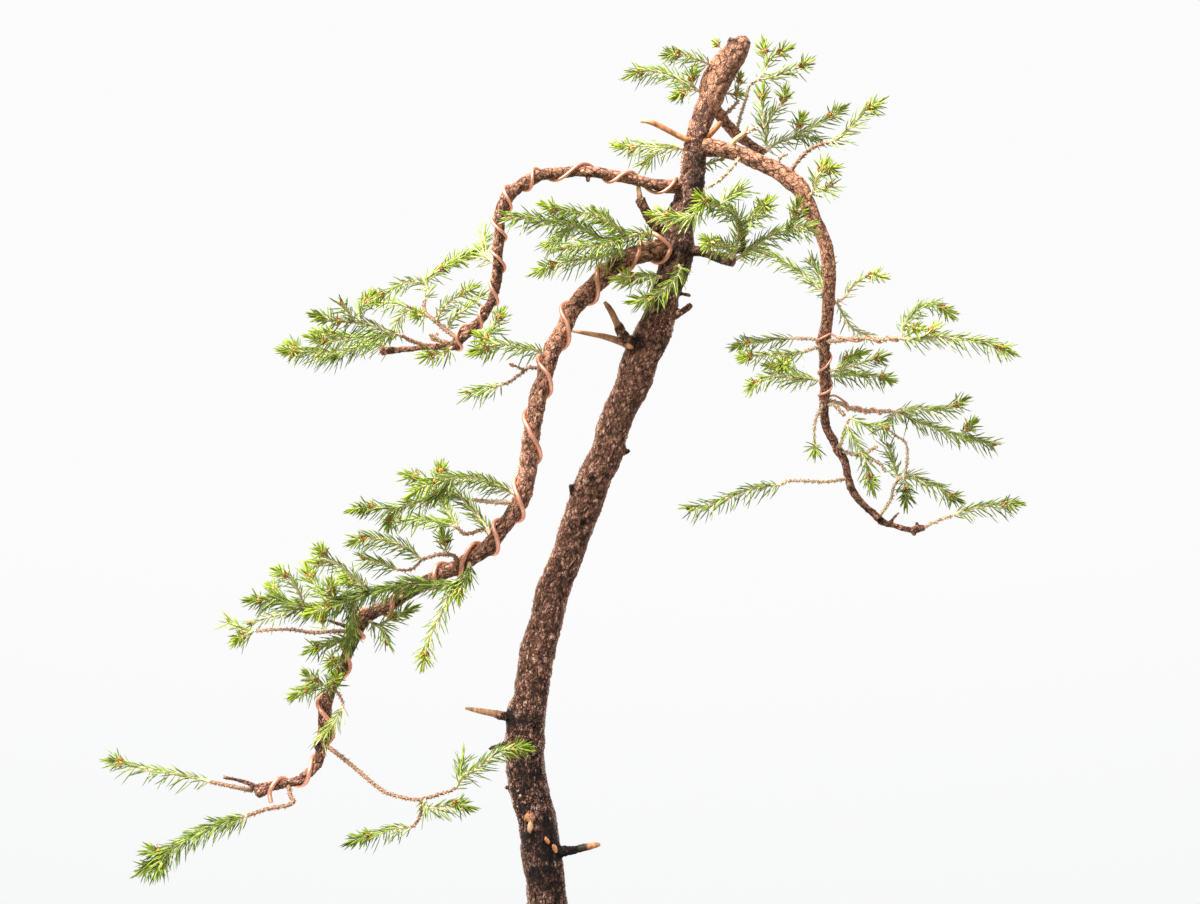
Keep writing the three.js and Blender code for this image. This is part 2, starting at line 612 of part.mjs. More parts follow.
      line: [
        [-15, 526, -37], [-28, 525, -36], [-33, 521, -34], [-41.4, 515, -31], [-46, 513.5, -29],
        [-58, 510.7, -24], [-68, 508, -20],
      ],
    },
    { bare: 1, line: [[-30, 523.5, -35], [-38, 527, -42]] },
  ],
  spray_lower_left_high: [
    {
      bud: 4,
      line: [
        [-37, 437, -30], [-45, 441, -36], [-64.5, 448, -52], [-78.5, 448.4, -61],
        [-92, 445.6, -64], [-103, 441, -66], [-115, 433, -68],
      ],
    },
    { bud: 1, line: [[-88, 446.4, -63.4], [-90, 451, -58], [-87, 458, -52]] },
  ],
  spray_lower_left_long: [
    {
      bud: 8,
      line: [
        [-52, 405, -31], [-58, 416, -24], [-64, 423, -22], [-71.5, 432, -22], [-79, 437, -24],
        [-91, 436, -28], [-106.5, 431, -33], [-124.7, 427, -38], [-136.6, 428, -41],
        [-145.7, 427, -44], [-156, 423, -47],
      ],
    },
    { bud: 1, line: [[-117, 428.6, -36], [-124, 420, -30], [-126, 409, -26]] },
  ],
  spray_lower_left_rise: [
    {
      bare: 3,
      line: [
        [-52, 404, -28], [-57, 412, -22], [-72, 409, -13], [-78, 414, -8], [-91, 417.6, 0],
        [-103, 420, 6], [-116, 417.6, 12],
      ],
    },
    { line: [[-77, 412, -9.5], [-82, 422, -2], [-86, 430, 4]] },
  ],
  spray_lower_left_wood: [
    {
      bare: 3,
      bud: 6,
      line: [
        [-76, 388, -25], [-80, 394, -35], [-91, 394.5, -40], [-101.6, 392, -44], [-113, 399.4, -50],
        [-136.6, 406.4, -60], [-143, 405.7, -63], [-156, 401.5, -68],
      ],
    },
    {
      bare: 2,
      line: [
        [-101, 392, -44], [-109, 384.5, -40], [-118.6, 384, -42], [-124.7, 386.8, -44],
        [-134, 390, -48], [-142, 392, -51],
      ],
    },
    { bud: 1, line: [[-85, 394.3, -37.5], [-86, 403, -44], [-88, 412, -48]] },
  ],
  spray_lower_left_sweep: [
    {
      bud: 13,
      line: [
        [-69, 391, -27], [-69, 384, -37], [-73, 376.5, -40], [-81, 374, -39], [-92.5, 373, -36],
        [-107, 375, -32], [-122, 372, -28], [-137, 368.6, -24], [-146, 366, -21], [-158.5, 363, -18],
        [-170, 358, -16], [-190, 358.4, -14], [-203.4, 364, -13], [-214.6, 363, -12], [-225, 363, -11],
      ],
    },
    { bud: 1, line: [[-72, 378, -39.7], [-76, 370, -46], [-76, 361, -50]] },
    {
      bud: 4,
      line: [
        [-77, 375, -39.6], [-83.4, 365, -42], [-88, 354, -44], [-94.6, 341, -46], [-99.5, 327, -48],
        [-102.5, 311, -50],
      ],
    },
    { line: [[-148, 365.6, -20.6], [-150.5, 354, -22], [-151, 341, -18], [-155, 331, -14]] },
    {
      bud: 5,
      line: [
        [-140, 368, -23], [-144.6, 375, -34], [-153.6, 382.6, -42], [-161, 388, -48],
        [-167.6, 392.4, -52], [-170, 395, -54], [-177, 401, -58],
      ],
    },
    { bud: 1, line: [[-163, 389.3, -49], [-172, 389, -44], [-181, 389.5, -40]] },
    { bud: 2, line: [[-166, 359.7, -16.5], [-172, 368, -8], [-179.6, 378, -2], [-183, 387, 3]] },
    { bud: 1, line: [[-163, 361, -17.2], [-165, 369, -26], [-165, 378, -32]] },
    {
      bud: 3,
      line: [
        [-184, 358.3, -14.5], [-187, 366, -24], [-191.5, 375, -30], [-196.4, 379.4, -33],
        [-209, 386, -38],
      ],
    },
    { line: [[-187, 358.3, -14.2], [-200.6, 353, -24], [-213, 349.6, -32], [-221, 347, -36]] },
    { bud: 1, line: [[-200, 362.3, -13.2], [-205, 369, -4], [-209, 374, 2]] },
  ],
  spray_lower_left_thin: [
    {
      bare: 5,
      line: [
        [-148, 339, 3], [-158, 341, 4], [-178, 340, 8], [-192.6, 342, 11], [-206.6, 342, 14],
        [-218.5, 341, 16], [-228, 343, 18], [-236, 348, 20],
      ],
    },
    { bud: 1, line: [[-169, 340.4, 6], [-171.6, 348, 10], [-171.6, 355, 13]] },
    { bud: 1, line: [[-220, 341.3, 16.3], [-227, 338, 10], [-233, 334, 4]] },
  ],
  spray_lower_left_inner: [
    { bud: 2, line: [[-140, 349, -1], [-133, 345, -12], [-122, 351, -17], [-104, 359, -22]] },
    { line: [[-131, 346, -13], [-129, 341, -16], [-127, 334, -18]] },
  ],
  spray_lower_left_knuckle: [
    { bud: 2, line: [[-150, 337, 4], [-161, 335, -5], [-174.6, 330, -9], [-184, 326, -12]] },
  ],
  spray_lower_left_bud: [
    { bud: 2, line: [[-157.5, 316, 7], [-161, 319, -6], [-164, 320.5, -12], [-167, 318, -22]] },
  ],
  spray_lower_left_low: [
    { bud: 2, line: [[-166, 300, 8], [-168, 302, -3], [-176.6, 306, -12], [-187, 315, -18]] },
    { bud: 1, line: [[-171.5, 303.7, -6.8], [-182, 300, -2], [-197, 293.5, 4]] },
    { bud: 1, line: [[-168.4, 302.3, -3.5], [-164, 306, -12], [-163, 311, -18]] },
    {
      bare: 2,
      line: [
        [-167.6, 301.8, -2.5], [-161, 298, -12], [-157, 289, -15], [-160.4, 282.5, -17],
        [-172, 267, -20],
      ],
    },
  ],
  spray_low_tip_long: [
    {
      bare: 2,
      bud: 8,
      line: [
        [-217, 229.8, -12], [-238, 233, -8], [-250, 235.6, -5], [-255.6, 237, -3], [-269.6, 240.5, 1],
        [-283.6, 242.6, 5], [-298.3, 245.4, 9], [-306.7, 247.5, 11], [-312, 249, 13],
        [-321.4, 251, 15],
      ],
    },
  ],
  spray_low_tip_full: [
    {
      bare: 4,
      bud: 9,
      line: [
        [-195, 234, -9.5], [-194, 226, -16], [-192, 221, -19], [-212.2, 216, -22], [-224, 211.8, -24],
        [-234, 209, -26], [-248, 204.8, -29], [-262.6, 197.8, -32], [-276.6, 189.4, -35],
        [-285.7, 186.6, -37], [-300, 188, -41],
      ],
    },
    { bud: 1, line: [[-281, 188.3, -36], [-291, 178, -36], [-304, 169, -36]] },
    { bud: 1, line: [[-278, 189, -35.3], [-285, 178, -42], [-290, 166, -48]] },
  ],
  spray_low_inner: [
    {
      bare: 9,
      bud: 13,
      line: [
        [-171.5, 264, 1], [-157, 252, -8], [-145, 242, -13], [-135, 233.5, -18], [-127, 228, -22],
        [-117, 225, -26], [-106, 223, -30], [-101, 223.7, -32], [-90.6, 226.5, -36],
        [-78, 231.4, -40], [-74, 239, -42], [-65, 244, -44], [-47, 257, -48], [-38.6, 258.7, -50],
        [-22, 258.5, -54],
      ],
    },
    { line: [[-76, 235, -41], [-75, 242, -34], [-73.6, 250, -28]] },
    {
      bud: 3,
      line: [
        [-99, 224.2, -32.8], [-100, 218, -38], [-93, 217.4, -44], [-78.6, 220, -50],
        [-63, 215.5, -56],
      ],
    },
    {
      bare: 2,
      bud: 5,
      line: [
        [-102, 223.6, -31.6], [-103, 212, -26], [-109, 204, -22], [-118.6, 203.4, -18],
        [-130, 200.6, -14], [-137.5, 198.5, -10], [-158, 191, -4],
      ],
    },
  ],
};

// Random draws come from one seeded stream
function randomStream(seed) {
  let state = seed;
  return () => {
    state = (state * 1664525 + 1013904223) % 4294967296;
    return state / 4294967296;
  };
}
const random = randomStream(SEED);
const between = (low, high) => low + (high - low) * random();

// Meshes and solids
function closedGeometry(positions, triangles) {
  const geometry = new THREE.BufferGeometry();
  geometry.setAttribute('position', new THREE.Float32BufferAttribute(positions, 3));
  geometry.setIndex(triangles);
  return geometry;
}

function solid(geometry) {
  const bare = geometry.clone();
  bare.deleteAttribute('normal');
  bare.deleteAttribute('uv');
  const merged = mergeVertices(bare, 1e-4);
  return new wasm.Manifold(new wasm.Mesh({
    numProp: 3,
    vertProperties: new Float32Array(merged.attributes.position.array),
    triVerts: new Uint32Array(merged.index.array),
  }));
}

function geometryOf(body) {
  const mesh = body.getMesh();
  return closedGeometry(Array.from(mesh.vertProperties), Array.from(mesh.triVerts));
}

const union = (bodies) => bodies.reduce((whole, body) => whole.add(body));

// Directions across a line of points, carried along it without twist
function framesAlong(points) {
  const frames = [];
  const last = points.length - 1;
  let side = null;
  points.forEach((point, index) => {
    const before = points[Math.max(index - 1, 0)];
    const after = points[Math.min(index + 1, last)];
    const along = after.clone().sub(before).normalize();
    if (side === null) {
      const across = Math.abs(along.y) < 0.9 ? new THREE.Vector3(0, 1, 0) : new THREE.Vector3(1, 0, 0);
      side = across.cross(along).normalize();
    } else {
      side = side.clone().addScaledVector(along, -side.dot(along)).normalize();
    }
    frames.push({ point, along, side, across: along.clone().cross(side) });
  });
  return frames;
}

// A tapering limb: a ring of `sides` corners round each point, closed at both ends
function limb(points, radii, sides) {
  const positions = [];
  const triangles = [];
  framesAlong(points).forEach(({ point, side, across }, ring) => {
    for (let corner = 0; corner < sides; corner += 1) {
      const angle = (2 * Math.PI * corner) / sides;
      const vertex = point.clone()
        .addScaledVector(side, radii[ring] * Math.cos(angle))
        .addScaledVector(across, radii[ring] * Math.sin(angle));
      positions.push(vertex.x, vertex.y, vertex.z);
    }
  });
  const rings = points.length;
  for (let ring = 0; ring < rings - 1; ring += 1) {
    for (let corner = 0; corner < sides; corner += 1) {
      const next = (corner + 1) % sides;
      const low = ring * sides;
      const high = low + sides;
      triangles.push(low + corner, low + next, high + next, low + corner, high + next, high + corner);
    }
  }
  const top = (rings - 1) * sides;
  for (let corner = 1; corner < sides - 1; corner += 1) {
    triangles.push(0, corner + 1, corner, top, top + corner, top + corner + 1);
  }
  return closedGeometry(positions, triangles);
}

// Thin bodies that needles keep clear of: a rod from a to b of a radius, and its owner
const rods = [];

function addRods(points, radii, owner, shoot = 0) {
  for (let index = 0; index < points.length - 1; index += 1) {
    const r = Math.max(radii[index], radii[index + 1]);
    rods.push({ a: points[index], b: points[index + 1], r, owner, shoot });
  }
}

// Shortest distance between the stretches a-b and c-d
function distanceBetween(a, b, c, d) {
  const u = b.clone().sub(a);
  const v = d.clone().sub(c);
  const w = a.clone().sub(c);
  const uu = u.dot(u);
  const vv = v.dot(v);
  const uv = u.dot(v);
  const uw = u.dot(w);
  const vw = v.dot(w);
  const det = uu * vv - uv * uv;
  let s = det > 1e-9 ? THREE.MathUtils.clamp((uv * vw - vv * uw) / det, 0, 1) : 0;
  const t = vv > 1e-9 ? THREE.MathUtils.clamp((uv * s + vw) / vv, 0, 1) : 0;
  s = uu > 1e-9 ? THREE.MathUtils.clamp((uv * t - uw) / uu, 0, 1) : 0;
  return a.clone().addScaledVector(u, s).distanceTo(c.clone().addScaledVector(v, t));
}

// The wood
function woodOf(route) {
  const points = route.map(place);
  const radii = route.map(([, , depth, radius]) => radius * (EYE.distance + depth) / EYE.distance);
  return { points, radii };
}

const WOOD = [
  [TRUNK, 9], [UPPER_LEFT, 6], [LOWER_LEFT, 6], [RIGHT, 6], [BEHIND, 5], [FORWARD, 5],
  [OUTER_TWIG, 5], [MIDDLE_TWIG, 5],
  ...Object.values(STUBS).map((route) => [route, 4]),
].map(([route, sides]) => ({ ...woodOf(route), sides }));

function makeTrunk() {
  const stump = new THREE.CylinderGeometry(
    STUMP_RADIUS, STUMP_RADIUS, SOIL_MOUND_TOP + 4 - STUMP_BOTTOM, 12,
  );
  stump.rotateX(Math.PI / 2);
  const foot = place(TRUNK[0]);
  stump.translate(foot.x, foot.y, (SOIL_MOUND_TOP + 4 + STUMP_BOTTOM) / 2);
  WOOD.forEach(({ points, radii }) => addRods(points, radii, 'trunk'));
  const roots = ROOTS.map((route) => limb(
    route.map(([x, y, z]) => new THREE.Vector3(x, y, z)),
    route.map(([, , , radius]) => radius),
    5,
  ));
  return union([
    solid(stump),
    ...roots.map(solid),
    ...WOOD.map(({ points, radii, sides }) => solid(limb(points, radii, sides))),
  ]);
}

// Training wire: a branch is wound from its first station to its last, and the wire is at the
// front of the branch at each. `hand` is 1 where the wire winds left-handed and -1 where right.
function onRoute({ points, radii }, station) {
  const low = THREE.MathUtils.clamp(Math.floor(station), 0, points.length - 2);
  const share = station - low;
  return {
    point: points[low].clone().lerp(points[low + 1], share),
    radius: radii[low] + (radii[low + 1] - radii[low]) * share,
  };
}

function stationAt(fronts, turn) {
  const last = fronts.length - 1;
  const low = THREE.MathUtils.clamp(Math.floor(turn), 0, last - 1);
  return fronts[low] + (fronts[low + 1] - fronts[low]) * (turn - low);
}

function windRound(wood, fronts, wireRadius, hand, turnsBefore, turnsAfter) {
  const turns = turnsBefore + fronts.length - 1 + turnsAfter;
  const steps = Math.round(turns * WIRE_STEPS);
  const path = [];
  for (let step = 0; step <= steps; step += 1) {
    const turn = (turns * step) / steps - turnsBefore;
    const station = stationAt(fronts, turn);
    const { point, radius } = onRoute(wood, station);
    const along = onRoute(wood, station + 0.4).point.sub(onRoute(wood, station - 0.4).point).normalize();
    const front = new THREE.Vector3(0, -1, 0);
    front.addScaledVector(along, -front.dot(along)).normalize();
    const below = front.clone().cross(along).multiplyScalar(hand);
    const reach = (radius + wireRadius + GAP) / Math.cos(Math.PI / WIRE_STEPS);
    path.push(point
      .addScaledVector(front, reach * Math.cos(2 * Math.PI * turn))
      .addScaledVector(below, reach * Math.sin(2 * Math.PI * turn)));
  }
  return path;
}

function makeWire(path, radius, sides) {
  const outline = new THREE.Shape();
  for (let corner = 0; corner < sides; corner += 1) {
    const angle = (2 * Math.PI * corner) / sides;
    const draw = corner === 0 ? 'moveTo' : 'lineTo';
    outline[draw](radius * Math.cos(angle), radius * Math.sin(angle));
  }
  addRods(path, path.map(() => radius), 'wire');
  return solid(new THREE.ExtrudeGeometry(outline, {
    steps: path.length - 1,
    extrudePath: new THREE.CatmullRomCurve3(path, false, 'centripetal'),
    bevelEnabled: false,
  }));
}

const [, upperLeftWood, lowerLeftWood, rightWood, , , outerTwigWood, middleTwigWood] = WOOD;

function upperWirePath() {
  const path = windRound(upperLeftWood, UPPER_WIRE_FRONT, UPPER_WIRE_RADIUS, 1, 0.22, 0.7);
  path.push(place([-95, 545.5, -3]), place([-91, 549, -8]));
  return path;
}

function lowerWirePath() {
  return [
    place([55, 620, -6]),
    place([62, 618.5, -15]),
    ...windRound(lowerLeftWood, LOWER_WIRE_FRONT, LOWER_WIRE_RADIUS, 1, 0, 0.1),
    place([-207.5, 221, -18]),
  ];
}

function rightWirePath() {
  return [
    ...windRound(outerTwigWood, OUTER_TWIG_FRONT, RIGHT_WIRE_RADIUS, 1, 0.4, 0.3),
    ...windRound(rightWood, RIGHT_WIRE_FRONT, RIGHT_WIRE_RADIUS, -1, 0.1, 0.5),
    place([186.5, 506, 11]),
    ...windRound(middleTwigWood, MIDDLE_TWIG_FRONT, RIGHT_WIRE_RADIUS, -1, 0.25, 0.4),
  ];
}

// A shoot's stem has three corners a ring, each ring turned from the last, so that every face is
// a triangle. Needles are raised from the faces of a whorl, a short step in the old growth and
// every step in the fresh.
function makeStem({ line, bare = 0, bud }) {
  const curve = new THREE.CatmullRomCurve3(line, false, 'centripetal');
  const total = curve.getLength();
  const reachOf = (index) => total * shareOfLength(line, index);
  const bareEnd = reachOf(bare);
  const budStart = bud === undefined ? total : reachOf(bud);
  const rings = [{ reach: 0, angle: 0, whorl: false, fresh: false }];
  const add = (step, turn, whorl, fresh) => {
    const { reach, angle } = rings[rings.length - 1];
    rings[rings.length - 1].whorl = whorl;
    rings[rings.length - 1].fresh = fresh;
    rings.push({ reach: Math.min(reach + step, total), angle: angle + turn, whorl: false, fresh });
  };
  const reached = () => rings[rings.length - 1].reach;
  while (reached() < bareEnd - BARE_RING / 2) {
    add(Math.min(BARE_RING, bareEnd - reached()), SIXTH, false, false);
  }
  while (reached() < total - FRESH_RING / 2) {
    if (reached() >= budStart - 1) {
      add(FRESH_RING, SIXTH, true, true);
    } else {
      add(WHORL_RING, SIXTH, true, false);
      add(Math.min(BETWEEN_WHORLS, Math.max(budStart - reached(), FRESH_RING)), SIXTH / 2, false, false);
    }
  }
  const points = rings.map(({ reach }) => curve.getPointAt(Math.min(reach / total, 1)));
  return { rings, points };
}

// Moves the start of a side shoot into the nearest stem drawn before it
function joined([start, ...rest], stems) {
  const foot = new THREE.Vector3();
  const nearest = { away: Infinity };
  stems.forEach(({ points }) => points.slice(1).forEach((point, index) => {
    new THREE.Line3(points[index], point).closestPointToPoint(start, true, foot);
    const away = foot.distanceTo(start);
    if (away < nearest.away) Object.assign(nearest, { away, point: foot.clone() });
  }));
  return [nearest.point, ...rest];
}

function shareOfLength(line, index) {
  const lengthTo = (end) => line.slice(1, end + 1)
    .reduce((sum, point, step) => sum + point.distanceTo(line[step]), 0);
  return lengthTo(index) / lengthTo(line.length - 1);
}

// Clear of every rod but the shoot's own stem, and of the spray's own needles
function isClear(base, tip, { owner, shoot, needles }) {
  const middle = base.clone().lerp(tip, 0.5);
  const hits = (rod, gap) => {
    const box = rod.r + gap + NEEDLE_RADIUS;
    if (distanceBetween(base, tip, rod.a, rod.b) > box) return false;
    return distanceBetween(base, middle, rod.a, rod.b) < box
      || distanceBetween(middle, tip, rod.a, rod.b) < box - NEEDLE_RADIUS / 2;
  };
  if (rods.some((rod) => (rod.owner !== owner || rod.shoot !== shoot) && hits(rod, NEEDLE_GAP))) {
    return false;
  }
  const start = base.clone().lerp(tip, 0.3);
  return !needles.some((rod) => distanceBetween(start, tip, rod.a, rod.b) < rod.r);
}

// Starts a spray just clear of the wood that carries it: rays run back along the stem's middle and
// its corners until the first of them meets the bark
function seated(line, trunk) {
  const nearest = { gap: Infinity };
  WOOD.forEach((wood) => {
    for (let station = 0; station <= wood.points.length - 1; station += 0.1) {
      const { point, radius } = onRoute(wood, station);
      const gap = point.distanceTo(line[0]) - radius;
      if (gap < nearest.gap) Object.assign(nearest, { gap, point });
    }
  });
  const [{ side, across }] = framesAlong([nearest.point, line[1]]);
  const back = nearest.point.clone().sub(line[1]).normalize();
  const reaches = [0, 1, 2, 3, 4, 5, 6].flatMap((ray) => {
    const offset = ray === 6 ? 0 : STEM_RADIUS;
    const origin = line[1].clone()
      .addScaledVector(side, offset * Math.cos(ray * SIXTH))
      .addScaledVector(across, offset * Math.sin(ray * SIXTH));
    return new THREE.Raycaster(origin, back).intersectObject(trunk).map(({ distance }) => distance);
  });
  const start = line[1].clone().addScaledVector(back, Math.min(...reaches) - SEAT_GAP);
  return [start, ...line.slice(1)];
}

function makeShoot({ rings, points }, own) {
  if (own.shoot > 0) rings[0].whorl = false;
  const frames = framesAlong(points);
  const positions = [];
  const triangles = [];
  const lastRing = rings.length - 1;
  const radii = rings.map((ring, index) => STEM_RADIUS
    + (STEM_TIP_RADIUS - STEM_RADIUS) * (index / lastRing));
  const corners = frames.map(({ point, side, across }, ring) => [0, 1, 2].map((corner) => {
    const angle = 2 * SIXTH * corner + rings[ring].angle;
    const vertex = point.clone()
      .addScaledVector(side, radii[ring] * Math.cos(angle))
      .addScaledVector(across, radii[ring] * Math.sin(angle));
    positions.push(vertex.x, vertex.y, vertex.z);
    return vertex;
  }));
  const raise = (face, apex) => {
    const top = positions.length / 3;
    positions.push(apex.x, apex.y, apex.z);
    triangles.push(face[0], face[1], top, face[1], face[2], top, face[2], face[0], top);
  };
  for (let ring = 0; ring < lastRing; ring += 1) {
    const { along } = frames[ring];
    for (let corner = 0; corner < 3; corner += 1) {
      const next = (corner + 1) % 3;
      const low = 3 * ring;
      const high = low + 3;
      const ringCorners = [corners[ring], corners[ring + 1]].flat();
      [[low + corner, low + next, high + corner], [low + next, high + next, high + corner]]
        .forEach((face, kind) => {
          const vertices = face.map((vertex) => ringCorners[vertex - low]);
          const wanted = rings[ring].whorl && (kind === 0 || random() < EXTRA_NEEDLES);
          const apex = wanted && needleApex(vertices, points[ring], along, rings[ring].fresh, own);
          if (apex) raise(face, apex);
          else triangles.push(...face);
        });
    }
  }
  triangles.push(0, 2, 1);
  const top = 3 * lastRing;
  const tip = points[lastRing].clone().addScaledVector(frames[lastRing].along, FRESH_NEEDLE * 0.8);
  if (isClear(points[lastRing], tip, own)) {
    raise([top, top + 1, top + 2], tip);
    own.needles.push({ a: points[lastRing], b: tip, r: OWN_NEEDLE_ROOM });
  } else {
    triangles.push(top, top + 1, top + 2);
  }
  return solid(closedGeometry(positions, triangles));
}

// The tip of a needle raised from a face of the stem, or null where none has room
function needleApex(face, centre, along, fresh, own) {
  const base = face[0].clone().add(face[1]).add(face[2]).divideScalar(3);
  const outward = base.clone().sub(centre);
  outward.addScaledVector(along, -outward.dot(along)).normalize();
  const length = (fresh ? FRESH_NEEDLE : OLD_NEEDLE) * between(0.85, 1.15);
  const lean = THREE.MathUtils.degToRad(between(40, 58));
  for (let attempt = 0; attempt < 9; attempt += 1) {
    const turn = THREE.MathUtils.degToRad(between(-12, 12) * (1 + attempt / 2));
    const tilt = Math.max(lean - attempt * 0.05, 0.5);
    const direction = outward.clone().applyAxisAngle(along, turn).multiplyScalar(Math.sin(tilt))
      .addScaledVector(along, Math.cos(tilt));
    const apex = base.clone().addScaledVector(direction, length);
    if (isClear(base, apex, own)) {
      own.needles.push({ a: base.clone().lerp(apex, 0.3), b: apex, r: OWN_NEEDLE_ROOM });
      return apex;
    }
  }
  return null;
}

function makeSprays(trunk) {
  const sprays = Object.entries(SPRAYS).map(([name, shoots]) => {
    const stems = [];
    shoots.forEach((shoot, index) => {
      const line = shoot.line.map(place);
      const stem = makeStem({ ...shoot, line: index === 0 ? seated(line, trunk) : joined(line, stems) });
      addRods(stem.points, stem.points.map(() => STEM_RADIUS), name, index);
      stems.push(stem);
    });
    return [name, stems];
  });
  return sprays.map(([name, stems]) => {
    const needles = [];
    const bodies = stems.map((stem, shoot) => makeShoot(stem, { owner: name, shoot, needles }));
    needles.forEach(({ a, b }) => rods.push({ a, b, r: NEEDLE_RADIUS * 0.8, owner: name }));
    return [name, union(bodies)];
  });
}

// Pot and soil: rings of a rectangle with round corners, from profile points [inset, height]
function roundedRing(inset, height) {
  const corner = Math.max(POT_CORNER - inset, 2);
  const halfLength = POT_LENGTH / 2 - inset - corner;
  const halfDepth = POT_DEPTH / 2 - inset - corner;
  const ring = [];
  [[1, 1], [-1, 1], [-1, -1], [1, -1]].forEach(([signX, signY], quarter) => {
    for (let step = 0; step <= 4; step += 1) {
      const angle = (Math.PI / 2) * (quarter + step / 4);
      ring.push(new THREE.Vector3(
        signX * halfLength + corner * Math.cos(angle),
        signY * halfDepth + corner * Math.sin(angle),
        height,
      ));
    }
  });
  return ring;
}

function ringStack(profile, closedLoop) {
  const rings = profile.map(([inset, height]) => roundedRing(inset, height));
  const count = rings[0].length;
  const positions = rings.flat().flatMap(({ x, y, z }) => [x, y, z]);
  const triangles = [];
  const links = closedLoop ? rings.length : rings.length - 1;
  for (let ring = 0; ring < links; ring += 1) {
    const low = ring * count;
    const high = ((ring + 1) % rings.length) * count;
    for (let corner = 0; corner < count; corner += 1) {
      const next = (corner + 1) % count;
      triangles.push(low + corner, low + next, high + next, low + corner, high + next, high + corner);
    }
  }
  const lastRing = (rings.length - 1) * count;
  for (let corner = 1; corner < count - 1; corner += 1) {
    triangles.push(0, corner + 1, corner, lastRing, lastRing + corner, lastRing + corner + 1);
  }
  return closedGeometry(positions, triangles);
}

function makePot() {
  const rimBottom = POT_HEIGHT - RIM_HEIGHT;
  const outer = [
    [POT_TAPER, FOOT_HEIGHT], [RIM_OVERHANG, rimBottom], [0, rimBottom + 2], [0, POT_HEIGHT - 1.5],
    [1.5, POT_HEIGHT], [RIM_OVERHANG + POT_WALL, POT_HEIGHT], [RIM_OVERHANG + POT_WALL, rimBottom],
    [POT_TAPER + POT_WALL, FLOOR_TOP],
  ];
  const shell = solid(ringStack(outer, false));
  const [footLength, footDepth] = FOOT_SIZE;
  const footX = POT_LENGTH / 2 - POT_TAPER - footLength / 2 - 10;
  const footY = POT_DEPTH / 2 - POT_TAPER - footDepth / 2 - 10;
  const feet = [[1, 1], [-1, 1], [-1, -1], [1, -1]].map(([signX, signY]) => {
    const foot = new THREE.BoxGeometry(footLength, footDepth, FOOT_HEIGHT + 4);
    foot.translate(signX * footX, signY * footY, (FOOT_HEIGHT + 4) / 2);
    return solid(foot);
  });
  const drains = [-1, 1].map((sign) => {
    const hole = new THREE.CylinderGeometry(DRAIN_RADIUS, DRAIN_RADIUS, FLOOR_TOP * 2, 12);
    hole.rotateX(Math.PI / 2);
    hole.translate(sign * DRAIN_SPACING / 2, 0, FLOOR_TOP);
    return solid(hole);
  });
  return union([shell, ...feet]).subtract(union(drains));
}

function makeSoil() {
  const inset = RIM_OVERHANG + POT_WALL + GAP;
  const rimBottom = POT_HEIGHT - RIM_HEIGHT;
  const body = solid(ringStack([
    [POT_TAPER + POT_WALL + GAP, FLOOR_TOP + GAP], [inset, rimBottom], [inset, SOIL_EDGE_TOP],
    [inset + 22, SOIL_EDGE_TOP + 6], [inset + 52, SOIL_MOUND_TOP], [inset + 60, SOIL_MOUND_TOP],
  ], false));
  const hole = new THREE.CylinderGeometry(STUMP_RADIUS + GAP, STUMP_RADIUS + GAP, POT_HEIGHT, 12);
  hole.rotateX(Math.PI / 2);
  const foot = place(TRUNK[0]);
  hole.translate(foot.x, foot.y, STUMP_BOTTOM - GAP + POT_HEIGHT / 2);
  return body.subtract(solid(hole));
}

// Finishes
const BARK = { color: 0x5a4033, roughness: 0.9, metalness: 0 };
const COPPER = { color: 0xc98a6a, roughness: 0.35, metalness: 1 };
const NEEDLES = { color: 0x5f8a35, roughness: 0.55, metalness: 0 };
const CLAY = { color: 0x6a4636, roughness: 0.75, metalness: 0 };
const SOIL = { color: 0x5b4a3b, roughness: 1, metalness: 0 };

const tree = new THREE.Group();

function addPiece(name, body, finish) {
  const mesh = new THREE.Mesh(geometryOf(body), new THREE.MeshStandardMaterial(finish));
  mesh.name = name;
  tree.add(mesh);
}

addPiece('pot', makePot(), CLAY);
addPiece('soil', makeSoil(), SOIL);
addPiece('trunk', makeTrunk(), BARK);
addPiece('wire_upper_left', makeWire(upperWirePath(), UPPER_WIRE_RADIUS, 4), COPPER);
addPiece('wire_lower_left', makeWire(lowerWirePath(), LOWER_WIRE_RADIUS, 4), COPPER);
addPiece('wire_right', makeWire(rightWirePath(), RIGHT_WIRE_RADIUS, 4), COPPER);
makeSprays(tree.getObjectByName('trunk'))
  .forEach(([name, body]) => addPiece(name, body, NEEDLES));

export default tree;
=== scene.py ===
import math
import random
from collections import namedtuple

import bpy
import numpy as np
from bpy.props import FloatProperty, FloatVectorProperty, IntProperty, PointerProperty
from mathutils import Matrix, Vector, noise
from mathutils.kdtree import KDTree


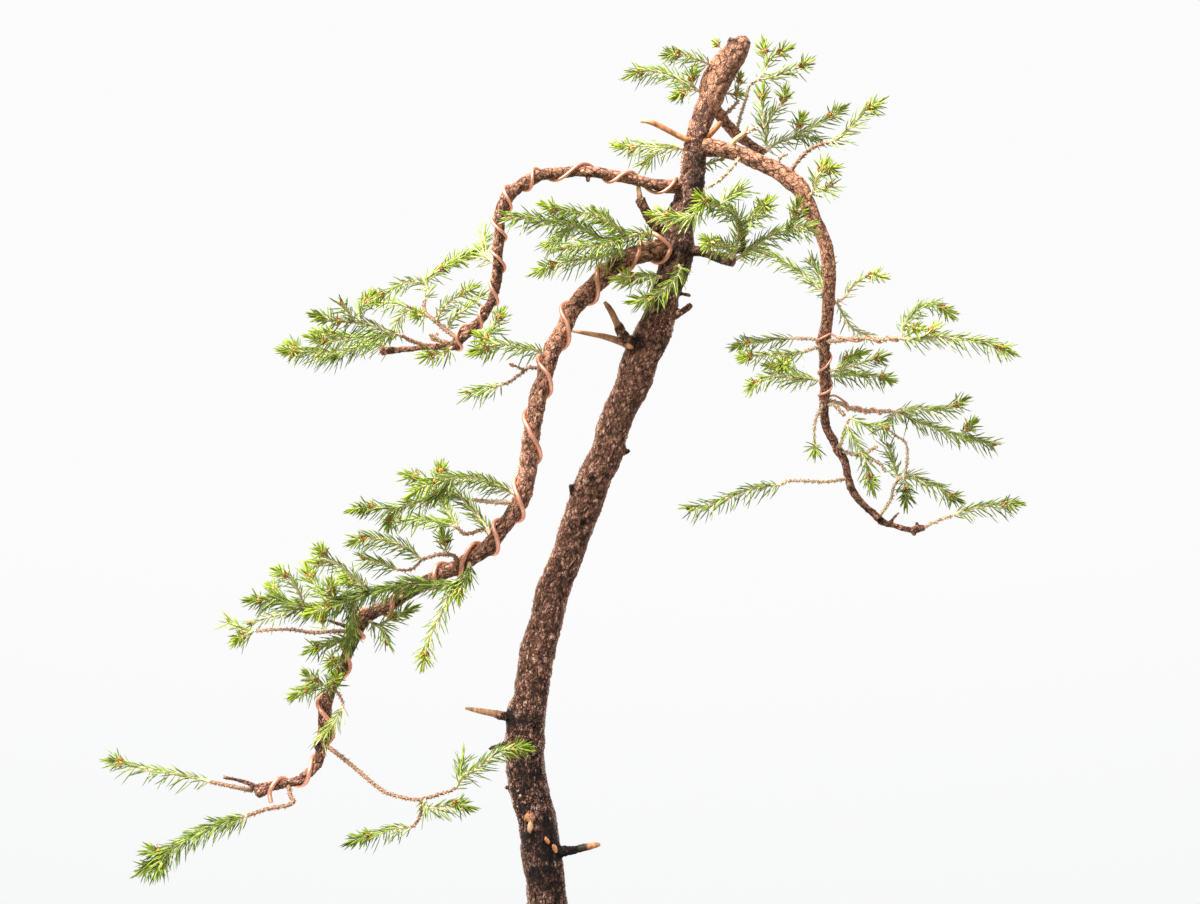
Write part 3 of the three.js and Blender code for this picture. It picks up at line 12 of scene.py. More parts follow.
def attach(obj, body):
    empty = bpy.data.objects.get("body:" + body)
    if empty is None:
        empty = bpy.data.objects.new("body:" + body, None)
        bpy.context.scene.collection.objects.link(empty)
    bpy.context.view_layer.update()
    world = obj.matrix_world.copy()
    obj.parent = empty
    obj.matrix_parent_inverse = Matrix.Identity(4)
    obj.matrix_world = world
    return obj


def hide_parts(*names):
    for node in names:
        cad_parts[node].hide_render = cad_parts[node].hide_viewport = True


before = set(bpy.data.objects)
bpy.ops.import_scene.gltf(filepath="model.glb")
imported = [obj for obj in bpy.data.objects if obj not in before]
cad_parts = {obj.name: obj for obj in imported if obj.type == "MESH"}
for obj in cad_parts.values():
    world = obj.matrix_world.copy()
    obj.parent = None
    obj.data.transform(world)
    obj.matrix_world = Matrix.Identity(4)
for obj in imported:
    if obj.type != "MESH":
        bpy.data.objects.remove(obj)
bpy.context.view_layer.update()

bl_info = {
    "name": "Spruce Bonsai",
    "version": (1, 0, 0),
    "blender": (4, 5, 0),
    "location": "View3D > Sidebar > Bonsai",
    "description": "Builds a wired spruce bonsai in its pot, with bark, needles, wire and soil",
    "category": "Object",
}

# Shapes are worked out in millimetres and become metres where a mesh is made. The routes are
# drawn as they show from the front. In a point (x, z, depth), x and z are its place where the
# line of sight from EYE crosses the plane y = 0, and depth is its y. Wood adds a radius.
MM = 0.001
EYE = (22.75, -1400.0, 466.4)
GRAIN_KEYS = ("grain_x", "grain_y", "grain_z")

# Wood. The points of these routes are (x, z, depth, radius).
TRUNK = [
    (-8, 84.8, 0, 21), (-8, 92, 0, 19), (-9, 104, 0, 16.5), (-11, 120, -1, 15),
    (-13, 137, -1, 14.3), (-14, 150, -2, 14), (-15.4, 167, -2, 13.6), (-17.9, 181, -3, 14),
    (-19.6, 195, -3, 13.7), (-21.4, 209, -4, 13.3), (-25.2, 223, -4, 13.7), (-28.4, 237, -4, 13.3),
    (-29.8, 251, -4, 13.3), (-29.8, 265, -3, 14), (-28.7, 284, -2, 13.7), (-26.3, 293, -1, 12.3),
    (-24.2, 307, 0, 11.9), (-20.7, 328, 2, 12.3), (-14.7, 349, 3, 11.6), (-10.1, 370, 4, 11.6),
    (-1, 391, 5, 11.2), (7.8, 418, 5, 11.6), (13.7, 434, 5, 12.3), (19.3, 450, 4, 11.9),
    (27.7, 466, 4, 11.6), (31.4, 482, 3, 11.2), (37.9, 498, 2, 11.2), (45.9, 514, 1, 12.3),
    (50.4, 530, 0, 12.6), (59.2, 548, -1, 12.6), (65.5, 566, -2, 10.9), (69, 580, -2, 10.5),
    (74.6, 594, -2, 10.8), (76.7, 608, -1, 12.4), (76.5, 625, 0, 11.6), (83, 639, 0, 9.8),
    (87.2, 657, 0, 8.8), (88.6, 671, 0, 8.8), (90, 685, 1, 7.7), (94.2, 699, 2, 7.7),
    (99.8, 713, 2, 8.8), (104.7, 727, 2, 10.5), (112.4, 739.4, 2, 9.8), (119.5, 748.5, 2, 8),
    (124, 755.5, 2, 5),
]
UPPER_LEFT = [
    (87.2, 652, 0, 5), (75.3, 652, -4, 4.9), (64.8, 653.3, -9, 4.6), (50.8, 655.8, -14, 3.9),
    (36.8, 658.9, -18, 3.9), (26.3, 661, -20, 4.2), (8.8, 663.1, -22, 3.9),
    (-8.8, 661.4, -24, 3.9), (-19.3, 660.3, -26, 4.2), (-26.3, 656.8, -27, 4.6),
    (-33.3, 652.6, -28, 4.2), (-40.3, 647, -29, 4.9), (-44.5, 640, -30, 4.9),
    (-47.3, 632.3, -30, 4.6), (-47.6, 621.8, -30, 3.5), (-48.3, 611.3, -29, 3.9),
    (-48.7, 600.8, -28, 3.5), (-49.4, 590.3, -26, 4.2), (-50.1, 583.3, -24, 3.5),
    (-52.9, 572.8, -21, 3.2), (-56.4, 565.8, -18, 3.2), (-59.9, 560.2, -15, 3.2),
    (-64.8, 555.3, -12, 3.5), (-69.7, 550.4, -9, 4.2), (-75.3, 546.2, -6, 4.2),
    (-78.8, 541.3, -3, 3.9), (-85.8, 540.6, 0, 2.8), (-92.8, 539.9, 3, 2.5),
    (-99.8, 539.9, 6, 2.1), (-110.3, 538.5, 10, 1.8), (-120.8, 537.8, 13, 2.5),
    (-129.9, 537.1, 16, 3.2),
]
LOWER_LEFT = [
    (81.6, 607.8, 0, 7), (68.3, 607.8, -6, 7.7), (57.8, 607.1, -12, 7.4), (43.8, 602.9, -18, 6.7),
    (36.8, 599.4, -21, 6.3), (31.2, 595.2, -23, 6.3), (24.2, 588.2, -25, 6.7),
    (15.8, 579.8, -27, 6.3), (8.8, 572.8, -29, 6.3), (1.8, 563, -31, 6), (-2.8, 551.8, -33, 5.6),
    (-7.4, 544.1, -34, 6), (-10.9, 537.8, -35, 6.3), (-13, 530.8, -36, 6.3),
    (-15.1, 523.8, -37, 6), (-16.5, 516.8, -38, 5.3), (-19.3, 509.8, -38, 6),
    (-21, 502.8, -38, 6.3), (-22.1, 495.8, -38, 6), (-23.5, 488.8, -38, 6), (-24.9, 481.8, -38, 6),
    (-27, 462.9, -38, 6.3), (-28.6, 450.3, -37, 6.7), (-32.2, 434.2, -36, 6),
    (-41.7, 418.1, -34, 5.6), (-48, 409.7, -32, 5.3), (-57.1, 398.5, -30, 5.6),
    (-61.3, 396.1, -29, 5.6), (-76.7, 386.6, -25, 5.3), (-85.8, 382.4, -22, 4.9),
    (-94.9, 377.5, -19, 4.9), (-113.1, 367, -12, 4.6), (-125, 359.3, -7, 4.6),
    (-136.9, 353.7, -2, 4.6), (-144.6, 346, 1, 4.6), (-149.5, 335.5, 4, 4.2),
    (-153.7, 326.4, 6, 4.2), (-158.6, 313.8, 8, 3.9), (-167.7, 295.6, 8, 4.2),
    (-169.8, 285.1, 6, 4.9), (-169.8, 271.8, 3, 4.9), (-172.6, 260.6, 0, 4.6),
    (-174, 250.8, -3, 3.5), (-181, 241.7, -6, 3.2), (-190.1, 236.1, -8, 3.2),
    (-198.5, 234, -10, 3.2), (-206.9, 232.6, -11, 3.9), (-217.2, 228.6, -12, 5.1),
]
RIGHT = [
    (88.6, 680.6, 0, 5.6), (96, 680, 0, 6.6), (106.8, 678.5, -2, 5.8), (120.8, 675, -4, 5.6),
    (134.8, 668.7, -8, 5.6), (148.8, 662.4, -12, 6), (155.8, 656.8, -14, 6.3),
    (162.8, 651.2, -16, 6.3), (167, 642.8, -17, 5.6), (169.8, 635.1, -18, 5.6),
    (172.6, 628.8, -18, 5.3), (179.6, 614.8, -18, 4.9), (182.4, 600.8, -17, 4.9),
    (183.4, 586.8, -15, 4.6), (182.7, 572.8, -13, 4.6), (181.7, 558.8, -10, 4.2),
    (179.6, 544.8, -7, 4.6), (179.9, 530.8, -3, 3.9), (180.3, 509.8, 3, 3.9),
    (179.6, 495.8, 7, 3.2), (181.7, 481.8, 10, 3), (185.9, 474.8, 12, 3), (189.4, 467.8, 13, 3.2),
    (194.3, 459.4, 15, 3), (196, 450.3, 16, 2.8), (198.5, 441.6, 17, 2.8), (205.8, 430.7, 18, 2.7),
    (214.6, 423, 18, 2.7), (219.5, 418.1, 18, 2.6), (229.3, 414.6, 17, 2.1),
    (239.8, 411.8, 15, 2.1), (245.5, 412.6, 14, 2.7), (249.5, 413.6, 13, 2),
]
BEHIND = [
    (99, 711, 0, 4.2), (101.2, 710, 2, 4.2), (108.2, 700.2, 12, 4.2), (118, 689, 20, 4),
    (127.8, 682, 26, 3.5), (137.6, 675.7, 30, 2.8),
]
FORWARD = [
    (82, 607, -2, 4.5), (96, 606.6, -12, 3.6), (105.6, 602.4, -20, 3.8), (116, 599.8, -26, 4.2),
]
OUTER_TWIG = [
    (180, 544.8, -7, 1.7), (185, 544, -12, 1.5), (205, 546, -18, 1.4), (219, 545, -22, 1.35),
    (231, 546, -25, 1.3),
]
MIDDLE_TWIG = [
    (180, 502, 5, 1.7), (186, 501.5, 9, 1.6), (192, 500, 13, 1.5), (198, 497, 16, 1.5),
    (212, 495, 20, 1.45), (226, 495, 22, 1.4),
]
# Dead stubs and thin bare twigs
STUBS = {
    "crown_knob": [(118, 752, 0, 4), (113, 755, -3, 2.6)],
    "crown_jin": [(90, 685, 0, 2.2), (84, 685, -5, 2), (59, 697, -9, 1.7), (51, 698, -10, 1.3)],
    "crown_peg": [(95, 684, 1, 2), (101, 690, -2, 1.9), (107.5, 697.5, -5, 1.8)],
    "crown_twiglet": [(109, 702, 12, 1.4), (114, 706, 10, 1.2), (120, 712.5, 9, 1)],
    "shoulder_jin": [
        (114, 675, -2, 2), (116, 683, -6, 1.7), (124, 690, -8, 1.4), (126, 695, -9, 1.1),
    ],
    "shoulder_fork": [(123, 689, -8, 1.3), (133, 693.5, -9, 1)],
    "shoulder_twig": [
        (121, 673, -6, 1.3), (117, 668, -13, 1.1), (107, 657, -17, 1), (97, 651, -18, 0.9),
    ],
    "shoulder_spur": [(146, 664, -11, 1.5), (149, 673, -12, 1.2), (154, 675, -13, 0.9)],
    "forward_twig": [
        (113, 601, -24, 2.3), (117.5, 606.4, -27, 2.2), (123, 609, -29, 2.2),
        (122.5, 616.4, -31, 2.1), (126, 621, -32, 2),
    ],
    "neck_stub": [
        (68, 620, -4, 4.5), (59, 628, -8, 4), (54, 637, -11, 3.8), (50.5, 643.5, -12, 3.5),
    ],
    "neck_peg": [(51, 642, -12, 1.9), (49.5, 653, -13.5, 1.5)],
    "under_stub": [(14, 662, -21, 2), (14.5, 656, -23, 1.6)],
    "middle_jin_bark": [
        (50, 537, -2, 5), (45, 540, -8, 4.4), (39, 548, -11, 4), (35, 555, -13, 3.8),
    ],
    "middle_jin": [(36, 553, -13, 2.4), (31, 564, -15, 2.1), (26, 571.5, -17, 1.6)],
    "middle_spike": [
        (47, 537, -3, 3), (40.5, 542, -6, 2.6), (26.5, 547, -8, 2.1), (16, 549, -9, 1.7),
        (3.4, 551, -11, 1.1),
    ],
    "right_spike": [(72, 577, -2, 1.8), (80, 577, -4, 1.5), (86, 576, -5, 1)],
    "right_stub": [(66, 560, -2, 3.2), (76, 562.5, -5, 2.7), (86.7, 569, -6, 2.1)],
    "bend_stub": [(30, 464, 2, 3.2), (40, 466.5, 0, 2.6), (43.5, 467.5, 0, 2.1)],
    "bend_peg": [(9, 435, 2, 3), (3.6, 438, 0, 2.4), (2.4, 443.5, -1, 1.7)],
    "low_jin": [
        (-29, 281, -4, 5), (-41, 281, -8, 3.4), (-50, 283, -10, 2.8), (-60, 285, -11, 2),
        (-71, 287, -12, 1.3),
    ],
    "low_thorn": [(-36, 264, -4, 2.4), (-45, 262, -6, 1.8), (-55, 258.7, -8, 1)],
    "low_spike": [(-34, 232, -4, 2.4), (-44, 231.5, -5, 1)],
    "low_stub": [
        (-18, 186, -4, 5), (-4.3, 186.4, -9, 3.8), (8, 188.7, -11, 3.1), (13, 190, -12, 2.5),
        (22.4, 191.5, -13, 2),
    ],
    "upper_twiglet": [(-84, 541, 0, 1.5), (-91, 545, -8, 1.2), (-97, 549, -12, 1)],
    "lower_end_twig": [
        (-217, 230, -12, 2.6), (-223, 234.5, -15, 1.7), (-232, 237, -17, 1.5),
        (-241, 239, -19, 1.3),
    ],
    "lower_bare_twig": [
        (-35, 430, -35, 2), (-43, 431, -40, 1.6), (-54, 431.5, -45, 1.5), (-67, 433, -48, 1.2),
    ],
    "lower_spur": [(-148, 343, 2, 2), (-157, 345, -3, 1.5), (-167, 348.5, -6, 1.2)],
    "right_hook": [(181, 500, 5, 1.7), (187, 499, 2, 1.4), (194, 492, 1, 1.2)],
    "right_low_twig": [
        (190, 467, 13, 1.7), (198, 465.5, 11, 1.3), (206, 464, 10, 1.2), (214, 469, 8, 1.1),
        (217, 470, 7, 1),
    ],
    "right_low_fork": [(205, 464, 10, 1.2), (219, 458, 11, 1.1), (222.5, 453, 11, 1)],
    "right_end_spur": [(225, 416, 17, 1.6), (229, 421, 15, 1.2), (232, 424, 13, 1)],
    "right_end_knob": [(240, 412, 15, 1.9), (243.5, 408.5, 14, 1.7)],
    "right_end_peg": [(245, 412, 14, 1.7), (244.5, 417.5, 13, 1.3)],
}
# Ends of bare wood that stand beyond the bark of their stubs, and how many points of such a
# stub's route its bark follows
TIPS = {
    "low_jin_tip": [
        (-44, 281.5, -8, 2.4), (-50, 283, -10, 2.4), (-60, 285, -11, 2), (-71.5, 287, -12, 1.2),
    ],
    "low_stub_tip": [(8, 188.7, -11, 2.7), (14, 190, -12, 2.4), (22.8, 191.8, -13, 1.5)],
}
BARK_ENDS = {"low_jin": 3, "low_stub": -1}
# Dead wood: how orange with resin it is, where along it pale wood begins, and where the dark
# bark on its foot ends
DEADWOOD = {
    "crown_jin": (0.75, 0.8, 0.12),
    "crown_peg": (0.9, 1.1, 0),
    "shoulder_jin": (0.15, 0, 0),
    "neck_peg": (0.25, 0.35, 0.1),
    "middle_jin": (0.45, 1.1, 0),
    "middle_spike": (0.4, 1.1, 0),
    "low_jin_tip": (0.35, 1.1, 0.1),
    "low_stub_tip": (0.75, 1.1, 0.5),
}
BARE_TWIGS = [OUTER_TWIG, MIDDLE_TWIG, *(STUBS[name] for name in (
    "crown_twiglet", "shoulder_fork", "shoulder_twig", "shoulder_spur", "upper_twiglet",
    "lower_bare_twig", "right_hook", "right_low_twig", "right_low_fork",
))]
# Roots at the trunk's foot. Their points are (x, y, z, radius).
ROOTS = [
    [(-7, 0, 100, 9), (-24, -6, 92, 5.5), (-38, -10, 87.6, 2.6)],
    [(-7, 0, 100, 9), (-13, -18, 92.5, 5.2), (-17, -38, 87.4, 2.4)],
    [(-7, 0, 100, 9), (12, -8, 92.5, 5.5), (29, -15, 87.4, 2.4)],
    [(-7, 0, 100, 9), (-2, 18, 92, 5.2), (5, 36, 87.4, 2.4)],
]
# The trunk's foot, inside the soil, written like the roots
FOOT = [(-8, 0, 50, 16), (-8, 0, 60, 16.5), (-8, 0, 90, 17)]
# The limbs of bark: the routes and stubs that each one covers, the size of its finest detail and
# the breadth of its plates in millimetres, how far the plates stand out, and the bark's age at
# each height, from 1 for old and dark to 0 for young and tan
LIMBS = {
    "trunk_bark": {
        "routes": [TRUNK],
        "stubs": ["crown_knob", "neck_stub", "middle_jin_bark", "right_spike", "right_stub",
                  "bend_stub", "bend_peg", "low_jin", "low_thorn", "low_spike", "low_stub"],
        "voxel": 0.96, "plate": 3.3, "relief": 1.15,
        "ages": {80: 1.2, 260: 1.15, 300: 0.85, 460: 0.68, 540: 0.7, 640: 0.82, 688: 0.78,
                 706: 0.2, 745: 0.05, 770: 0.35},
    },
    "upper_left_bark": {
        "routes": [UPPER_LEFT], "stubs": ["under_stub"],
        "voxel": 0.66, "plate": 2.7, "relief": 0.7,
        "ages": {535: 0.4, 560: 0.6, 630: 0.5, 660: 0.25},
    },
    "lower_left_bark": {
        "routes": [LOWER_LEFT], "stubs": ["lower_spur", "lower_end_twig"],
        "voxel": 0.76, "plate": 3.0, "relief": 0.85,
        "ages": {230: 0.6, 300: 0.7, 420: 0.45, 500: 0.35, 560: 0.15, 610: 0.1},
    },
    "right_bark": {
        "routes": [RIGHT, BEHIND, FORWARD],
        "stubs": ["forward_twig", "right_end_spur", "right_end_knob", "right_end_peg"],
        "voxel": 0.72, "plate": 2.7, "relief": 0.72,
        "ages": {400: 0.55, 470: 0.6, 550: 0.55, 562: 0.1, 640: -0.1, 700: -0.1},
    },
}
# Dark knots, old scars, and painted shade at limb joints and down the crown's right flank: (x, z,
# depth, radius, strength)
DARK_SPOTS = [
    (17.2, 447.5, -8, 2.6, 1), (11.6, 416.7, -6, 2.2, 1), (113.1, 755, -4, 5, 0.6),
    (-175.4, 261.3, -5, 4, 0.9), (-39, 280, -10, 7, 0.9), (-31, 279, -17, 6, 0.7),
    (-22, 281, -15, 5, 0.6), (-34, 174, -10, 4.5, 0.7), (-24, 172, -16, 5.5, 0.85),
    (-14, 175, -14, 5, 0.9), (167.7, 635.1, -24, 3, 1), (219.5, 418.1, 15, 3, 0.9),
    (-12, 189, -14, 9, 1), (-2, 188, -11, 8, 1), (5, 189, -11, 7, 1), (-12, 199, -13, 6, 0.9),
    (49, 543, -10, 6.5, 0.75), (76, 604, -11, 10, 0.6), (-31, 196, -14, 6, 0.8),
    (-18, 207, -16, 5, 0.7), (-30, 218, -14, 5, 0.7), (95, 606, -12, 14, 0.75),
    (72, 640, -8, 8, 0.5), (-52, 575, -20, 6, 0.4), (-49, 395, -30, 7, 0.4),
    (96, 670, -10, 9, 0.7), (93, 657, -10, 9, 0.7), (91, 703, -10, 3, 1), (96, 702, -12, 3, 1),
    (101, 702, -11, 3, 0.9), (66, 590, -14, 12, 0.5), (84, 622, -12, 12, 0.6),
    (-27, 240, -15, 7, 0.6), (-15, 225, -14, 6, 0.5), (78, 622, -8, 20, 0.45),
    (88, 645, -6, 14, 0.5), (104, 604, -22, 8, 0.8), (113, 601, -24, 7, 0.7),
    (120, 606, -28, 6, 0.5), (42.5, 467.3, 0, 3.5, 0.8), (3, 440, 0, 4, 0.8),
    (-222, 227, -14, 5, 0.4), (126, 741, -6, 6, 0.5), (120, 729, -6, 6, 0.5),
    (113, 716, -6, 6, 0.5), (100, 697, -9, 9, 0.4),
]
# Healed knots: (x, z, depth, radius)
KNOTS = [
    (17.2, 447.5, -8, 3.6), (11.6, 416.7, -6, 3), (219.5, 418.1, 15, 2.4),
    (167.7, 635.1, -24, 3.2), (-175.4, 261.3, -5, 3.2), (50, 541, -12, 7), (-49, 395, -30, 4),
]
# Torn wood on the trunk: (x, z, depth, half width, half height, tilt, resin, pale)
WOUNDS = [
    (-25.1, 211, -16.4, 4.8, 4, 0, 0.85, 0), (-26, 204.2, -16.6, 1.9, 4.4, -0.12, 0.4, 0.8),
    (-14.4, 194.6, -15.2, 1.4, 3.2, 0.6, 1, 0), (-8.9, 188.9, -14.6, 1.7, 3.2, 0.4, 1, 0.1),
    (43, 540.4, -14.2, 3.2, 1.9, -0.4, 0.45, 0), (10.6, 663, -27, 1.5, 1.1, 0, 0.5, 0.5),
]

# Wires. The places where each passes the front of its branch, as numbers of points on the route
UPPER_WIRE_FRONT = [1.5, 4.1, 6.35, 8.8, 11.5, 14, 15.8, 18.4, 20.9, 24]
LOWER_WIRE_FRONT = [
    1.05, 2.75, 6.5, 9.6, 14.3, 20.2, 23.1, 25.1, 27.7, 29.6, 31.6, 34.2, 36, 39.2, 43, 45.95,
]
RIGHT_WIRE_FRONT = [15.75, 17.2, 18.05]
OUTER_TWIG_FRONT = [3.7, 2.7, 1.6]
MIDDLE_TWIG_FRONT = [2.6, 3.6, 4.3]

